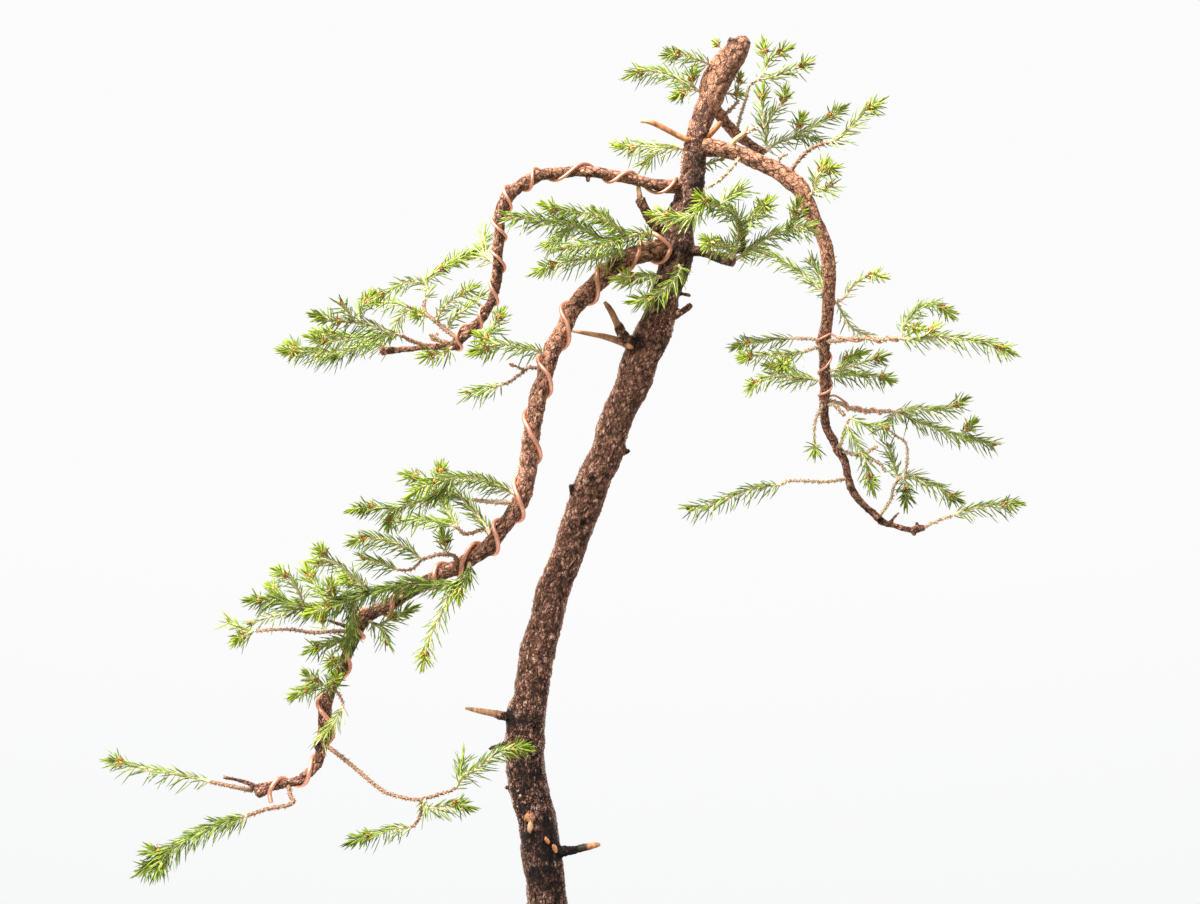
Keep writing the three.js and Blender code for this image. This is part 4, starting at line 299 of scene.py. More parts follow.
# Sprays. Each shoot is (bare, bud, route), and a spray's first shoot is its main stem. It is
# bare from its foot to point number bare. This year's growth begins at point number bud, and
# where that is None it ends in a closed bud. The points are (x, z, depth).
SPRAYS = {
    "crown_tip": [
        (0, 1, [(109, 748, 2), (106, 751, 3), (103, 754, 4)]),
    ],
    "crown_left_upper": [
        (0, 2, [(100, 741, -2), (86, 743, -10), (77, 745, -14), (63, 743, -18)]),
    ],
    "crown_left_middle": [
        (0, 4, [(93, 718, 2), (87, 721, 6), (71, 731, 14), (58, 733, 18), (52, 733, 20),
            (38, 728, 22)]),
        (0, 1, [(88, 720, 6), (87, 727, 4), (89, 734, 1)]),
        (0, 1, [(87, 721, 6), (81, 718, 2), (73, 714, -2)]),
    ],
    "crown_left_lower": [
        (0, 3, [(84, 679, 3), (61, 680, 14), (51, 681, 18), (46, 679, 20), (29, 683, 26)]),
        (0, None, [(66, 680, 12), (60, 674, 18), (54, 669, 22)]),
    ],
    "crown_front": [
        (0, 1, [(111, 714, 3), (117, 717, 9), (124, 718, 14)]),
        (0, 1, [(117, 717, 9), (120, 725, 12), (121, 732, 14)]),
    ],
    "crown_low": [
        (0, None, [(93, 664, 6), (100, 669, 11), (107, 671, 14)]),
    ],
    "crown_right": [
        (4, 7, [(118, 690, 20), (122, 705, 22), (125, 714, 24), (128, 723.5, 26), (135, 727, 28),
            (145, 729, 28), (152, 733, 27), (163, 736, 24), (172, 743, 20)]),
        (0, 3, [(133, 726, 28), (138, 735, 33), (140, 741, 36), (138, 746, 38), (137, 752, 39)]),
        (0, 2, [(140, 740, 35.5), (143, 743, 33), (148, 746, 30), (158, 751.5, 26)]),
    ],
    "shoulder_back": [
        (0, 7, [(138, 676, 30), (141, 679, 33), (149, 684, 38), (156, 686, 42), (163, 690, 46),
            (171, 694, 50), (178, 698, 52), (183, 701, 54), (197, 711, 56)]),
        (0, 4, [(140, 678, 32), (139, 685, 38), (137, 695.5, 42), (136, 706, 45), (136, 714, 46),
            (137, 724, 46)]),
        (0, 3, [(138, 693, 41), (145.5, 705, 34), (150, 709.5, 30), (151, 713, 28),
            (152, 719, 26)]),
        (0, 1, [(158, 687.5, 43), (162, 695, 34), (165, 706, 28)]),
        (0, None, [(161, 689, 45), (168, 687, 56), (176, 685, 62)]),
    ],
    "shoulder_front": [
        (3, 7, [(154, 660, -14), (163, 672, -18), (171, 679, -22), (182, 683, -28),
            (190, 686, -32), (198, 694, -38), (205, 701, -42), (211, 707, -45), (224, 714, -50)]),
    ],
    "shoulder_side": [
        (0, 3, [(169, 643, -17), (173, 650, -24), (174, 658, -28), (177, 663, -30),
            (182, 673, -32)]),
        (0, 1, [(176, 661, -29.5), (182, 664, -38), (190, 666, -44)]),
        (0, None, [(173.5, 651, -25), (180, 651, -32), (184, 653, -38)]),
    ],
    "front_high": [
        (0, 4, [(125, 620, -32), (120, 629, -40), (113, 635, -47), (103.5, 639.5, -54),
            (97, 642, -60), (89, 646, -68)]),
        (0, 3, [(101, 640.5, -56), (93, 638, -50), (86, 631, -42), (71, 631.5, -34),
            (54, 633, -28)]),
        (0, None, [(106, 638, -52), (112, 645, -48), (120, 650, -46)]),
        (0, 2, [(123, 624, -36), (131.5, 632.5, -50), (137, 638, -62), (141, 643, -72)]),
    ],
    "front_low": [
        (0, 2, [(122.5, 609, -29), (110.5, 611.5, -44), (101, 613, -56), (95, 614, -64)]),
    ],
    "front_right": [
        (0, 4, [(122, 611, -30), (142, 618, -40), (152.5, 622, -46), (159.5, 630, -52),
            (160, 633, -54), (161, 641, -58)]),
        (0, None, [(151, 621, -45), (160, 624, -56), (169, 624, -62)]),
    ],
    "right_inner": [
        (0, None, [(183, 575, -13), (170, 586, -4), (159.5, 595, 4), (148, 602, 10),
            (136, 606.5, 15), (124.5, 604, 18)]),
    ],
    "right_behind": [
        (0, None, [(183, 573, -13), (180, 580, 2), (181, 590, 12), (182, 602, 20)]),
        (0, None, [(180.5, 583, 5), (175, 592, 14), (171, 600, 20)]),
    ],
    "neck_left": [
        (0, 2, [(70, 590, -6), (58, 590, -20), (45, 588.5, -30), (36, 588, -37), (30, 587, -41)]),
    ],
    "neck_front": [
        (0, 4, [(83, 600, -6), (79, 594, -20), (73, 585, -27), (65, 578, -31), (58, 574, -34),
            (40, 571, -38)]),
    ],
    "middle_left_upper": [
        (0, None, [(60, 613, -13), (55, 619.5, -24), (38, 616, -32), (26.5, 615, -36),
            (16, 620, -41), (5.5, 625, -46), (-5, 628, -50), (-15.5, 628, -54), (-26, 631, -58),
            (-40, 631, -62)]),
        (0, 2, [(47, 617.8, -27.8), (37, 620.6, -20), (25, 629, -14), (19.5, 635, -11)]),
        (0, 4, [(44, 617, -29), (36, 622, -34), (23, 631, -40), (5.5, 634.6, -46),
            (-8.5, 636, -50), (-16, 640, -52)]),
        (0, None, [(40, 616, -31), (30, 612, -44), (19.5, 611, -52), (5.5, 611, -58),
            (-3, 609, -62)]),
        (0, None, [(6, 624.5, -45.5), (-4, 619, -38), (-13, 611.5, -33)]),
    ],
    "middle_left_lower": [
        (0, 5, [(44, 604, -18), (38, 607, -30), (26.5, 604, -38), (19.5, 602.4, -42),
            (0, 600, -48), (-10, 597.5, -52), (-27, 590.5, -58)]),
    ],
    "right_side": [
        (0, 3, [(183, 568, -12), (193, 574, -16), (200, 583, -20), (212, 590, -26),
            (226, 588, -32)]),
        (0, None, [(189, 571, -14.5), (194, 561, -8), (200, 553, -4), (212, 547, 2)]),
    ],
    "inner_right_high": [
        (0, 3, [(179.5, 545, -7), (159.5, 546, 2), (142, 545, 8), (126.6, 543, 14),
            (112, 538, 19)]),
    ],
    "inner_right_bright": [
        (0, 5, [(179.6, 540, -6), (166.5, 537, -18), (159.5, 535, -24), (145.5, 535, -32),
            (135, 534, -37), (129, 533.5, -40), (117, 532, -45)]),
        (0, 1, [(158, 535, -25), (152, 529, -38), (148, 525, -52)]),
    ],
    "inner_right_low": [
        (0, 4, [(180, 516, 1), (165, 519, 12), (156, 524, 18), (150, 525.5, 23), (146, 526, 26),
            (137, 528, 31)]),
        (0, 5, [(168, 518, 10), (160, 517, 2), (152, 519, -4), (145.5, 520, -9), (136.4, 518, -14),
            (132, 515, -17), (123, 508, -22)]),
    ],
    "outer_right_upper": [
        (0, 4, [(180, 523, -1), (189.6, 524, -8), (198, 527, -14), (206, 529, -19),
            (215.5, 532, -25), (226, 535, -31)]),
        (0, 1, [(188, 524, -6.5), (195, 531, 2), (212, 538, 10)]),
    ],
    "outer_right_lower": [
        (0, 4, [(180, 519.5, 0), (190, 520, 10), (199, 520.5, 17), (208.5, 520.5, 26),
            (219, 519, 33), (230, 515, 40)]),
    ],
    "outer_right_top": [
        (0, 6, [(231.5, 546, -25), (243.5, 545, -28), (250.5, 546, -30), (261, 547, -32),
            (271.5, 545.7, -34), (292.5, 543.6, -36), (301.6, 540, -36), (316, 534, -36)]),
        (0, 5, [(234, 545.8, -26), (235, 554, -20), (241.4, 562.5, -14), (248.4, 569, -9),
            (257.5, 570, -4), (261, 568, -2), (273, 559, 4)]),
        (0, 1, [(236.5, 555.5, -19), (243, 553, -30), (250, 553, -40)]),
        (0, 1, [(248, 545.7, -29.5), (254, 551, -22), (262, 555, -16)]),
    ],
    "outer_right_middle": [
        (0, None, [(226.5, 495, 22), (235, 493, 24), (241.4, 489, 26), (250.5, 486, 28),
            (261, 482.5, 30), (271.5, 479, 32), (276.4, 477, 33), (286, 475, 34), (297, 472, 35)]),
        (0, 4, [(230, 494.5, 23), (240, 496.5, 14), (257.5, 496, 6), (266, 497, 2),
            (271.5, 500, 0), (282, 504, -4)]),
        (0, 1, [(275, 477.5, 32.7), (280, 483, 26), (284, 487, 22)]),
        (0, None, [(229, 494.5, 22.6), (226, 489, 30), (221, 484, 38)]),
    ],
    "outer_right_hanging": [
        (3, None, [(190, 468, 13), (193, 477, 2), (195, 484, -5), (198, 490, -10),
            (206.4, 486, -18), (222, 484, -28)]),
        (0, 4, [(196, 486, -7), (198.5, 479, -14), (203.4, 470, -18), (207.6, 463, -21),
            (211, 450, -24), (215.4, 434.5, -27)]),
    ],
    "right_star": [
        (3, 3, [(179.6, 500, 6), (174, 490, -4), (172.6, 480.6, -10), (173, 471.5, -16),
            (173, 464, -24)]),
    ],
    "low_right_inner": [
        (3, None, [(196.5, 447, 16), (181, 445.6, 8), (154.6, 446, -2), (149, 443.5, -5),
            (143, 443, -8), (127, 440, -16), (111, 434, -24), (100.5, 430, -28),
            (86.5, 427, -33)]),
    ],
    "low_right_fan": [
        (3, 7, [(217, 420, 18), (226.7, 434, 24), (228, 441, 27), (233, 448, 30), (241, 450, 28),
            (250.5, 445.6, 24), (262, 441, 20), (268, 436, 17), (279, 430, 12)]),
        (0, 1, [(235, 449.5, 30), (237, 440, 20), (237, 426, 8)]),
        (0, None, [(232, 446.5, 29.5), (229, 456, 36), (226, 464, 41), (224.6, 470, 44)]),
        (4, None, [(236, 450, 29.7), (238, 464.5, 30), (236.5, 473, 34), (229.5, 478, 40),
            (225, 482, 46)]),
    ],
    "low_right_end": [
        (2, 6, [(249.5, 413.6, 13), (263, 420, 10), (270, 422, 8), (273.6, 424, 7),
            (286, 427.4, 3), (297.4, 429, 0), (305.6, 430, -2), (321.5, 429.5, -6)]),
    ],
    "upper_left_rise": [
        (4, 7, [(-76, 546, -6), (-85.5, 552, 2), (-95, 560, 9), (-99.5, 564, 13), (-100, 573, 18),
            (-97.4, 578.6, 21), (-99.5, 586, 25), (-89, 594, 32), (-78, 601, 38),
            (-56, 609.4, 46)]),
        (0, 4, [(-99, 584.5, 24), (-111.4, 586, 18), (-119, 583, 13), (-125, 578.6, 9),
            (-130, 577, 6), (-146.4, 571.6, -2)]),
        (0, 3, [(-92, 557.5, 6.5), (-88, 566, -2), (-83.4, 571, -8), (-74, 577, -14),
            (-60.3, 584, -20)]),
        (0, None, [(-85, 551.5, 1.5), (-80, 560, 10), (-69.4, 568.6, 14), (-60, 576, 18)]),
        (0, 1, [(-98, 562.7, 11.8), (-104, 562, 2), (-108, 565, -6)]),
        (1, None, [(-98.6, 563.4, 12.3), (-112, 568, 22), (-122.6, 571, 28), (-134, 571, 34)]),
        (0, None, [(-110, 567.3, 20.5), (-117.6, 560.4, 28), (-121, 551, 34)]),
    ],
    "upper_left_outer": [
        (2, 6, [(-98, 540, 5), (-108.6, 544, 0), (-117, 548, -6), (-127.5, 551, -12),
            (-138, 555.5, -17), (-150.6, 557.6, -22), (-160.4, 557.6, -26), (-173, 561, -31),
            (-184, 563, -35)]),
        (0, None, [(-149, 557.5, -21), (-154, 565, -30), (-158, 570, -38)]),
        (0, 2, [(-145, 557, -19.5), (-145, 567, -16), (-141, 571, -12), (-136, 579, -8)]),
        (0, 4, [(-121, 549, -8.5), (-129.6, 548, -1), (-146.4, 547, 6), (-157.6, 548, 10),
            (-164, 548.5, 12), (-182, 551.5, 16)]),
        (0, 2, [(-150, 547.2, 7.5), (-162, 545, 0), (-169.5, 544, -5), (-186, 549, -12)]),
    ],
    "upper_left_low": [
        (0, None, [(-121, 538, 13), (-138, 542, 24), (-152, 538, 33), (-162, 534, 40),
            (-173, 533, 46)]),
        (0, 3, [(-158, 535.5, 37.5), (-170, 537, 32), (-178.6, 536.6, 28), (-190.5, 536.6, 22),
            (-205, 538, 15)]),
        (0, 1, [(-184, 536.6, 25.5), (-190, 540, 32), (-198, 543, 38)]),
    ],
    "upper_left_under": [
        (0, 2, [(-78.5, 541, -3), (-85.5, 536, -13), (-94.4, 534.5, -20), (-105, 532, -26)]),
    ],
    "upper_left_inner": [
        (0, 3, [(-68, 551, -10), (-61.6, 548.6, -2), (-54, 551, 6), (-49, 559, 12),
            (-43.5, 569, 18)]),
    ],
    "upper_left_back": [
        (0, None, [(-49, 597, -27), (-58, 604, -20), (-59, 613, -12), (-58, 618, -8)]),
    ],
    "middle_low": [
        (0, 5, [(-13, 532, -36), (-22, 538, -44), (-33, 539, -49), (-41.4, 541.5, -53),
            (-50.5, 541.5, -57), (-56, 539, -60), (-71, 536, -66)]),
        (0, 1, [(-48, 541.5, -56), (-56, 545, -50), (-64, 549, -46)]),
    ],
    "middle_bare": [
        (4, None, [(-15, 526, -37), (-28, 525, -36), (-33, 521, -34), (-41.4, 515, -31),
            (-46, 513.5, -29), (-58, 510.7, -24), (-68, 508, -20)]),
        (1, None, [(-30, 523.5, -35), (-38, 527, -42)]),
    ],
    "lower_left_high": [
        (0, 4, [(-37, 437, -30), (-45, 441, -36), (-64.5, 448, -52), (-78.5, 448.4, -61),
            (-92, 445.6, -64), (-103, 441, -66), (-115, 433, -68)]),
        (0, 1, [(-88, 446.4, -63.4), (-90, 451, -58), (-87, 458, -52)]),
        (0, 1, [(-78.8, 448.2, -60), (-89.3, 438.4, -52), (-99.8, 431, -46)]),
        (0, 1, [(-94, 443.6, -63), (-106, 449, -58), (-117, 451, -54)]),
    ],
    "lower_left_long": [
        (0, 8, [(-52, 405, -31), (-58, 416, -24), (-64, 423, -22), (-71.5, 432, -22),
            (-79, 437, -24), (-91, 436, -28), (-106.5, 431, -33), (-124.7, 427, -38),
            (-136.6, 428, -41), (-145.7, 427, -44), (-156, 423, -47)]),
        (0, 1, [(-117, 428.6, -36), (-124, 420, -30), (-126, 409, -26)]),
    ],
    "lower_left_rise": [
        (3, None, [(-52, 404, -28), (-57, 412, -22), (-72, 409, -13), (-78, 414, -8),
            (-91, 417.6, 0), (-103, 420, 6), (-116, 417.6, 12)]),
        (0, None, [(-77, 412, -9.5), (-82, 422, -2), (-86, 430, 4)]),
    ],
    "lower_left_wood": [
        (3, 6, [(-76, 388, -25), (-80, 394, -35), (-91, 394.5, -40), (-101.6, 392, -44),
            (-113, 399.4, -50), (-136.6, 406.4, -60), (-143, 405.7, -63), (-156, 401.5, -68)]),
        (2, None, [(-101, 392, -44), (-109, 384.5, -40), (-118.6, 384, -42), (-124.7, 386.8, -44),
            (-134, 390, -48), (-142, 392, -51)]),
        (0, 1, [(-85, 394.3, -37.5), (-86, 403, -44), (-88, 412, -48)]),
    ],
    "lower_left_sweep": [
        (0, 13, [(-69, 391, -27), (-69, 384, -37), (-73, 376.5, -40), (-81, 374, -39),
            (-92.5, 373, -36), (-107, 375, -32), (-122, 372, -28), (-137, 368.6, -24),
            (-146, 366, -21), (-158.5, 363, -18), (-170, 358, -16), (-190, 358.4, -14),
            (-203.4, 364, -13), (-214.6, 363, -12), (-225, 363, -11)]),
        (0, 1, [(-72, 378, -39.7), (-76, 370, -46), (-76, 361, -50)]),
        (0, 4, [(-77, 375, -39.6), (-83.4, 365, -42), (-88, 354, -44), (-94.6, 341, -46),
            (-99.5, 327, -48), (-102.5, 311, -50)]),
        (0, None, [(-148, 365.6, -20.6), (-150.5, 354, -22), (-151, 341, -18), (-155, 331, -14)]),
        (0, 5, [(-140, 368, -23), (-144.6, 375, -34), (-153.6, 382.6, -42), (-161, 388, -48),
            (-167.6, 392.4, -52), (-170, 395, -54), (-177, 401, -58)]),
        (0, 1, [(-163, 389.3, -49), (-172, 389, -44), (-181, 389.5, -40)]),
        (0, 2, [(-166, 359.7, -16.5), (-172, 368, -8), (-179.6, 378, -2), (-183, 387, 3)]),
        (0, 1, [(-163, 361, -17.2), (-165, 369, -26), (-165, 378, -32)]),
        (0, 3, [(-184, 358.3, -14.5), (-187, 366, -24), (-191.5, 375, -30), (-196.4, 379.4, -33),
            (-209, 386, -38)]),
        (0, None, [(-187, 358.3, -14.2), (-200.6, 353, -24), (-213, 349.6, -32),
            (-221, 347, -36)]),
        (0, 1, [(-200, 362.3, -13.2), (-205, 369, -4), (-209, 374, 2)]),
        (0, 1, [(-150.9, 364.2, -24), (-166.3, 358.6, -30), (-178.9, 354.4, -34),
            (-188.7, 351.6, -36)]),
        (0, 1, [(-139.7, 367, -26), (-150.9, 374.7, -20), (-160.7, 378.9, -14)]),
    ],
    "lower_left_thin": [
        (5, None, [(-148, 339, 3), (-158, 341, 4), (-178, 340, 8), (-192.6, 342, 11),
            (-206.6, 342, 14), (-218.5, 341, 16), (-228, 343, 18), (-236, 348, 20)]),
        (0, 1, [(-169, 340.4, 6), (-171.6, 348, 10), (-171.6, 355, 13)]),
        (0, 1, [(-220, 341.3, 16.3), (-227, 338, 10), (-233, 334, 4)]),
    ],
    "lower_left_inner": [
        (0, 2, [(-140, 349, -1), (-133, 345, -12), (-122, 351, -17), (-104, 359, -22)]),
        (0, None, [(-131, 346, -13), (-129, 341, -16), (-127, 334, -18)]),
    ],
    "lower_left_knuckle": [
        (0, 2, [(-150, 337, 4), (-161, 335, -5), (-174.6, 330, -9), (-184, 326, -12)]),
    ],
    "lower_left_bud": [
        (0, 2, [(-157.5, 316, 7), (-161, 319, -6), (-164, 320.5, -12), (-167, 318, -22)]),
    ],
    "lower_left_low": [
        (0, 2, [(-166, 300, 8), (-168, 302, -3), (-176.6, 306, -12), (-187, 315, -18)]),
        (0, 1, [(-171.5, 303.7, -6.8), (-182, 300, -2), (-197, 293.5, 4)]),
        (0, 1, [(-168.4, 302.3, -3.5), (-164, 306, -12), (-163, 311, -18)]),
        (2, None, [(-167.6, 301.8, -2.5), (-161, 298, -12), (-157, 289, -15), (-160.4, 282.5, -17),
            (-172, 267, -20)]),
    ],
    "low_tip_long": [
        (2, 8, [(-217, 229.8, -12), (-238, 233, -8), (-250, 235.6, -5), (-255.6, 237, -3),
            (-269.6, 240.5, 1), (-283.6, 242.6, 5), (-298.3, 245.4, 9), (-306.7, 247.5, 11),
            (-312, 249, 13), (-321.4, 251, 15)]),
    ],
    "low_tip_full": [
        (4, 9, [(-195, 234, -9.5), (-194, 226, -16), (-192, 221, -19), (-212.2, 216, -22),
            (-224, 211.8, -24), (-234, 209, -26), (-248, 204.8, -29), (-262.6, 197.8, -32),
            (-276.6, 189.4, -35), (-285.7, 186.6, -37), (-300, 188, -41)]),
        (0, 1, [(-281, 188.3, -36), (-291, 178, -36), (-304, 169, -36)]),
        (0, 1, [(-278, 189, -35.3), (-285, 178, -42), (-290, 166, -48)]),
    ],
    "low_inner": [
        (9, 13, [(-171.5, 264, 1), (-157, 252, -8), (-145, 242, -13), (-135, 233.5, -18),
            (-127, 228, -22), (-117, 225, -26), (-106, 223, -30), (-101, 223.7, -32),
            (-90.6, 226.5, -36), (-78, 231.4, -40), (-74, 239, -42), (-65, 244, -44),
            (-47, 257, -48), (-38.6, 258.7, -50), (-22, 258.5, -54)]),
        (0, None, [(-76, 235, -41), (-75, 242, -34), (-73.6, 250, -28)]),
        (0, 3, [(-99, 224.2, -32.8), (-100, 218, -38), (-93, 217.4, -44), (-78.6, 220, -50),
            (-63, 215.5, -56)]),
        (2, 5, [(-102, 223.6, -31.6), (-103, 212, -26), (-109, 204, -22), (-118.6, 203.4, -18),
            (-130, 200.6, -14), (-137.5, 198.5, -10), (-158, 191, -4)]),
    ],
}
# How far from their foot, in millimetres, the main stems of these sprays have lost their needles
LOST_NEEDLES = {"inner_right_high": 19, "inner_right_bright": 17, "right_side": 6}
# How sprays, and single shoots of them, look: the size of their needles, how dense they are,
# how yellow their tips are and how pale it all is. Needles are shorter on the right branch.
USUAL_LOOK, USUAL_LOOK_RIGHT = (1, 1, 0.5, 0.1), (0.9, 0.85, 0.45, -0.02)
SPRAY_LOOKS = {
    "crown_tip": (0.55, 1.3, 0.8, 0.2), "crown_front": (0.75, 0.6, 0.9, 0.2),
    "crown_low": (0.6, 0.8, 0.3, -0.1), "crown_right": (0.95, 0.65, 0.5, 0.05),
    "shoulder_back": (1, 0.7, 0.4, 0), "shoulder_side": (0.95, 1, 0.9, 0.3),
    "shoulder_front": (1, 0.75, 0.4, 0.1), "front_high": (1.05, 1.5, 0.8, 0.08),
    "front_low": (1.05, 1.4, 0.8, 0.08), "front_right": (1.05, 1.3, 0.8, 0.08),
    "neck_left": (1.1, 1.3, 1, 0.3), "neck_front": (1.05, 1.2, 0.5, -0.12),
    "middle_left_upper": (1.02, 1.35, 0.8, 0.07), "right_side": (0.75, 0.5, 1.2, 0.3),
    "low_right_inner": (1, 0.95, 0.2, -0.22), "low_right_end": (0.95, 0.9, 0.4, -0.15),
    "low_right_fan": (0.95, 1, 0.4, -0.05), "outer_right_top": (0.92, 0.9, 0.7, 0.15),
    "outer_right_middle": (0.95, 1, 0.4, -0.02), "right_star": (1, 1, 0.6, 0),
    "right_behind": (0.9, 1, 0.2, -0.1), "upper_left_rise": (0.9, 0.8, 0.4, 0.12),
    "upper_left_outer": (0.95, 0.95, 0.6, -0.05), "upper_left_low": (1, 1.2, 0.5, -0.05),
    "lower_left_wood": (1, 1.1, 0.4, -0.05), "lower_left_knuckle": (1, 1.2, 0.3, -0.05),
    "lower_left_high": (1, 1.5, 0.5, 0), "lower_left_long": (0.95, 1.25, 0.5, 0.03),
    "lower_left_rise": (0.95, 1.1, 0.5, -0.05), "lower_left_sweep": (0.9, 0.8, 0.6, 0.1),
    "low_tip_full": (1.05, 1.9, 0.1, 0.02), "low_tip_long": (1.1, 0.65, 0.3, -0.2),
    "low_inner": (1, 1, 0.1, -0.12),
}
SHOOT_LOOKS = {
    "lower_left_sweep": {
        0: (1.05, 2, 0.2, -0.12), 1: (0.9, 1.2, 0.8, 0.05), 2: (0.95, 0.65, 0.7, 0.1),
        3: (0.9, 1.9, 0.1, -0.16), 6: (1.1, 1.2, 0.9, 0.1), 7: (1.1, 1.3, 1, 0.1),
        9: (0.9, 0.5, 0.2, 0), 11: (1.1, 1.4, 1, 0.1), 12: (1.1, 1.4, 0.9, 0.1),
    },
    "outer_right_top": {0: (0.95, 0.9, 1.3, 0.2)},
    "inner_right_low": {0: (0.9, 0.9, 1, 0.1), 1: (0.9, 0.8, 1.3, 0.25)},
    "low_right_fan": {1: (0.95, 1, 0.3, -0.15)},
    "upper_left_outer": {3: (0.95, 1.3, 0.4, -0.12)},
}



# Places and directions

def spread_at(depth):
    """How much larger a thing at this depth is than it looks beside the plane y = 0."""
    return (depth - EYE[1]) / -EYE[1]


def place(point):
    """The real place of a point of a route."""
    x, z, depth = point[:3]
    spread = spread_at(depth)
    return np.array([EYE[0] + (x - EYE[0]) * spread, depth, EYE[2] + (z - EYE[2]) * spread])


def placed(route):
    return np.array([place(point) for point in route])


def radii_of(route):
    return np.array([point[3] * spread_at(point[2]) for point in route])


def unit(vectors):
    return vectors / np.maximum(np.linalg.norm(vectors, axis=-1, keepdims=True), 1e-9)


# Smooth lines

def bend_between(p0, p1, p2, p3, shares):
    """Points of the smooth curve that passes p0 to p3, on its stretch from p1 to p2."""
    d0, d1, d2 = (max(np.linalg.norm(b - a), 1e-4) ** 0.5
                  for a, b in ((p0, p1), (p1, p2), (p2, p3)))
    leave = ((p1 - p0) / d0 - (p2 - p0) / (d0 + d1) + (p2 - p1) / d1) * d1
    arrive = ((p2 - p1) / d1 - (p3 - p1) / (d1 + d2) + (p3 - p2) / d2) * d1
    t = np.asarray(shares)[:, None]
    return (p1 + leave * t + (3 * (p2 - p1) - 2 * leave - arrive) * t ** 2
            + (2 * (p1 - p2) + leave + arrive) * t ** 3)


def reach_along(line):
    """How far along a line each of its points is."""
    return np.append(0, np.cumsum(np.linalg.norm(np.diff(line, axis=0), axis=1)))


def points_at(spots, reach, line):
    return np.column_stack([np.interp(spots, reach, line[:, axis]) for axis in range(3)])


def smooth_line(points, step):
    """The smooth curve through points, sampled every step, with each sample's station."""
    ends = [2 * points[0] - points[1], *points, 2 * points[-1] - points[-2]]
    dense, stations = [], []
    shares = np.arange(16) / 16
    for index in range(len(points) - 1):
        dense.append(bend_between(*ends[index:index + 4], shares))
        stations.append(index + shares)
    dense = np.vstack([*dense, points[-1][None]])
    stations = np.append(np.concatenate(stations), len(points) - 1)
    reach = reach_along(dense)
    samples = np.linspace(0, reach[-1], max(2, round(reach[-1] / step) + 1))
    return points_at(samples, reach, dense), np.interp(samples, reach, stations)


def tapered_line(points, radii, step):
    """The smooth curve through points, sampled every step, with each sample's radius."""
    line, stations = smooth_line(points, step)
    return line, np.interp(stations, np.arange(len(points)), radii)


def branch_line(route, step):
    return tapered_line(placed(route), radii_of(route), step)


def frames_along(line):
    """Along, side and across directions at each point, carried along without twist."""
    along = unit(np.gradient(line, axis=0))
    start = np.array([0.0, 1.0, 0.0]) if abs(along[0][1]) < 0.9 else np.array([1.0, 0.0, 0.0])
    side = unit(np.cross(start, along[0]))
    sides = []
    for direction in along:
        side = unit(side - direction * side.dot(direction))
        sides.append(side)
    sides = np.array(sides)
    return along, sides, np.cross(along, sides)


def around(side, across, turns):
    """Directions at the given angles round a line, between its side and across directions."""
    return side * np.cos(turns)[:, None] + across * np.sin(turns)[:, None]


def turned(first, second, angle):
    """Two coordinates turned together by an angle."""
    return (first * math.cos(angle) - second * math.sin(angle),
            first * math.sin(angle) + second * math.cos(angle))


# Meshes: a shape is its vertices and its faces, and shapes are joined before a mesh is made

def tube(line, radii, sides, rounded=0.5):
    """A closed tube round a line, its ends rounded off to a point."""
    along, side, across = frames_along(line)
    angles = np.linspace(0, 2 * math.pi, sides, endpoint=False)
    ring = around(side[:, None], across[:, None], angles)
    rings = line[:, None] + ring * np.asarray(radii)[:, None, None]
    low = line[0] - along[0] * radii[0] * rounded
    high = line[-1] + along[-1] * radii[-1] * rounded
    vertices = np.vstack([rings.reshape(-1, 3), low[None], high[None]])
    count = len(line)
    faces = []
    for row in range(count - 1):
        for corner in range(sides):
            following = (corner + 1) % sides
            faces.append((row * sides + corner, row * sides + following,
                          (row + 1) * sides + following, (row + 1) * sides + corner))
    last = (count - 1) * sides
    for corner in range(sides):
        following = (corner + 1) % sides
        faces.append((following, corner, count * sides))
        faces.append((last + corner, last + following, count * sides + 1))
    return vertices, faces


class Mould:
    """Gathers shapes with their tones and finishes, and makes one mesh of them."""

    def __init__(self):
        self.vertices, self.faces, self.slots, self.size = [], [], [], 0
        self.values = {}

    def add(self, vertices, faces, slot=0, **values):
        count = len(vertices)
        self.vertices.append(np.asarray(vertices))
        self.faces.extend(tuple(corner + self.size for corner in face) for face in faces)
        self.slots.extend([slot] * len(faces))
        for name in set(self.values) | set(values):
            track = self.values.setdefault(name, [np.zeros(self.size)])
            track.append(np.broadcast_to(values.get(name, 0.0), count).astype(float))
        self.size += count

    def piece(self, name, materials, smooth=True):
        obj = mesh_piece(name, np.vstack(self.vertices), self.faces, materials, smooth)
        obj.data.polygons.foreach_set("material_index", self.slots)
        for key, track in self.values.items():
            set_value(obj, key, np.concatenate(track))
        return obj


def mesh_piece(name, vertices, faces, materials, smooth=True):
    mesh = bpy.data.meshes.new(name)
    mesh.from_pydata((np.asarray(vertices) * MM).tolist(), [], faces)
    for material in materials:
        mesh.materials.append(material)
    if smooth:
        mesh.shade_smooth()
    obj = bpy.data.objects.new(name, mesh)
    bpy.context.collection.objects.link(obj)
    return obj


def set_value(obj, name, values):
    attribute = obj.data.attributes.get(name) or obj.data.attributes.new(name, "FLOAT", "POINT")
    attribute.data.foreach_set("value", np.asarray(values, dtype=np.float32))


def vertices_of(obj):
    points = np.empty(len(obj.data.vertices) * 3)
    obj.data.vertices.foreach_get("co", points)
    return points.reshape(-1, 3) / MM


def set_vertices(obj, points):
    obj.data.vertices.foreach_set("co", (points * MM).ravel())
    obj.data.update()


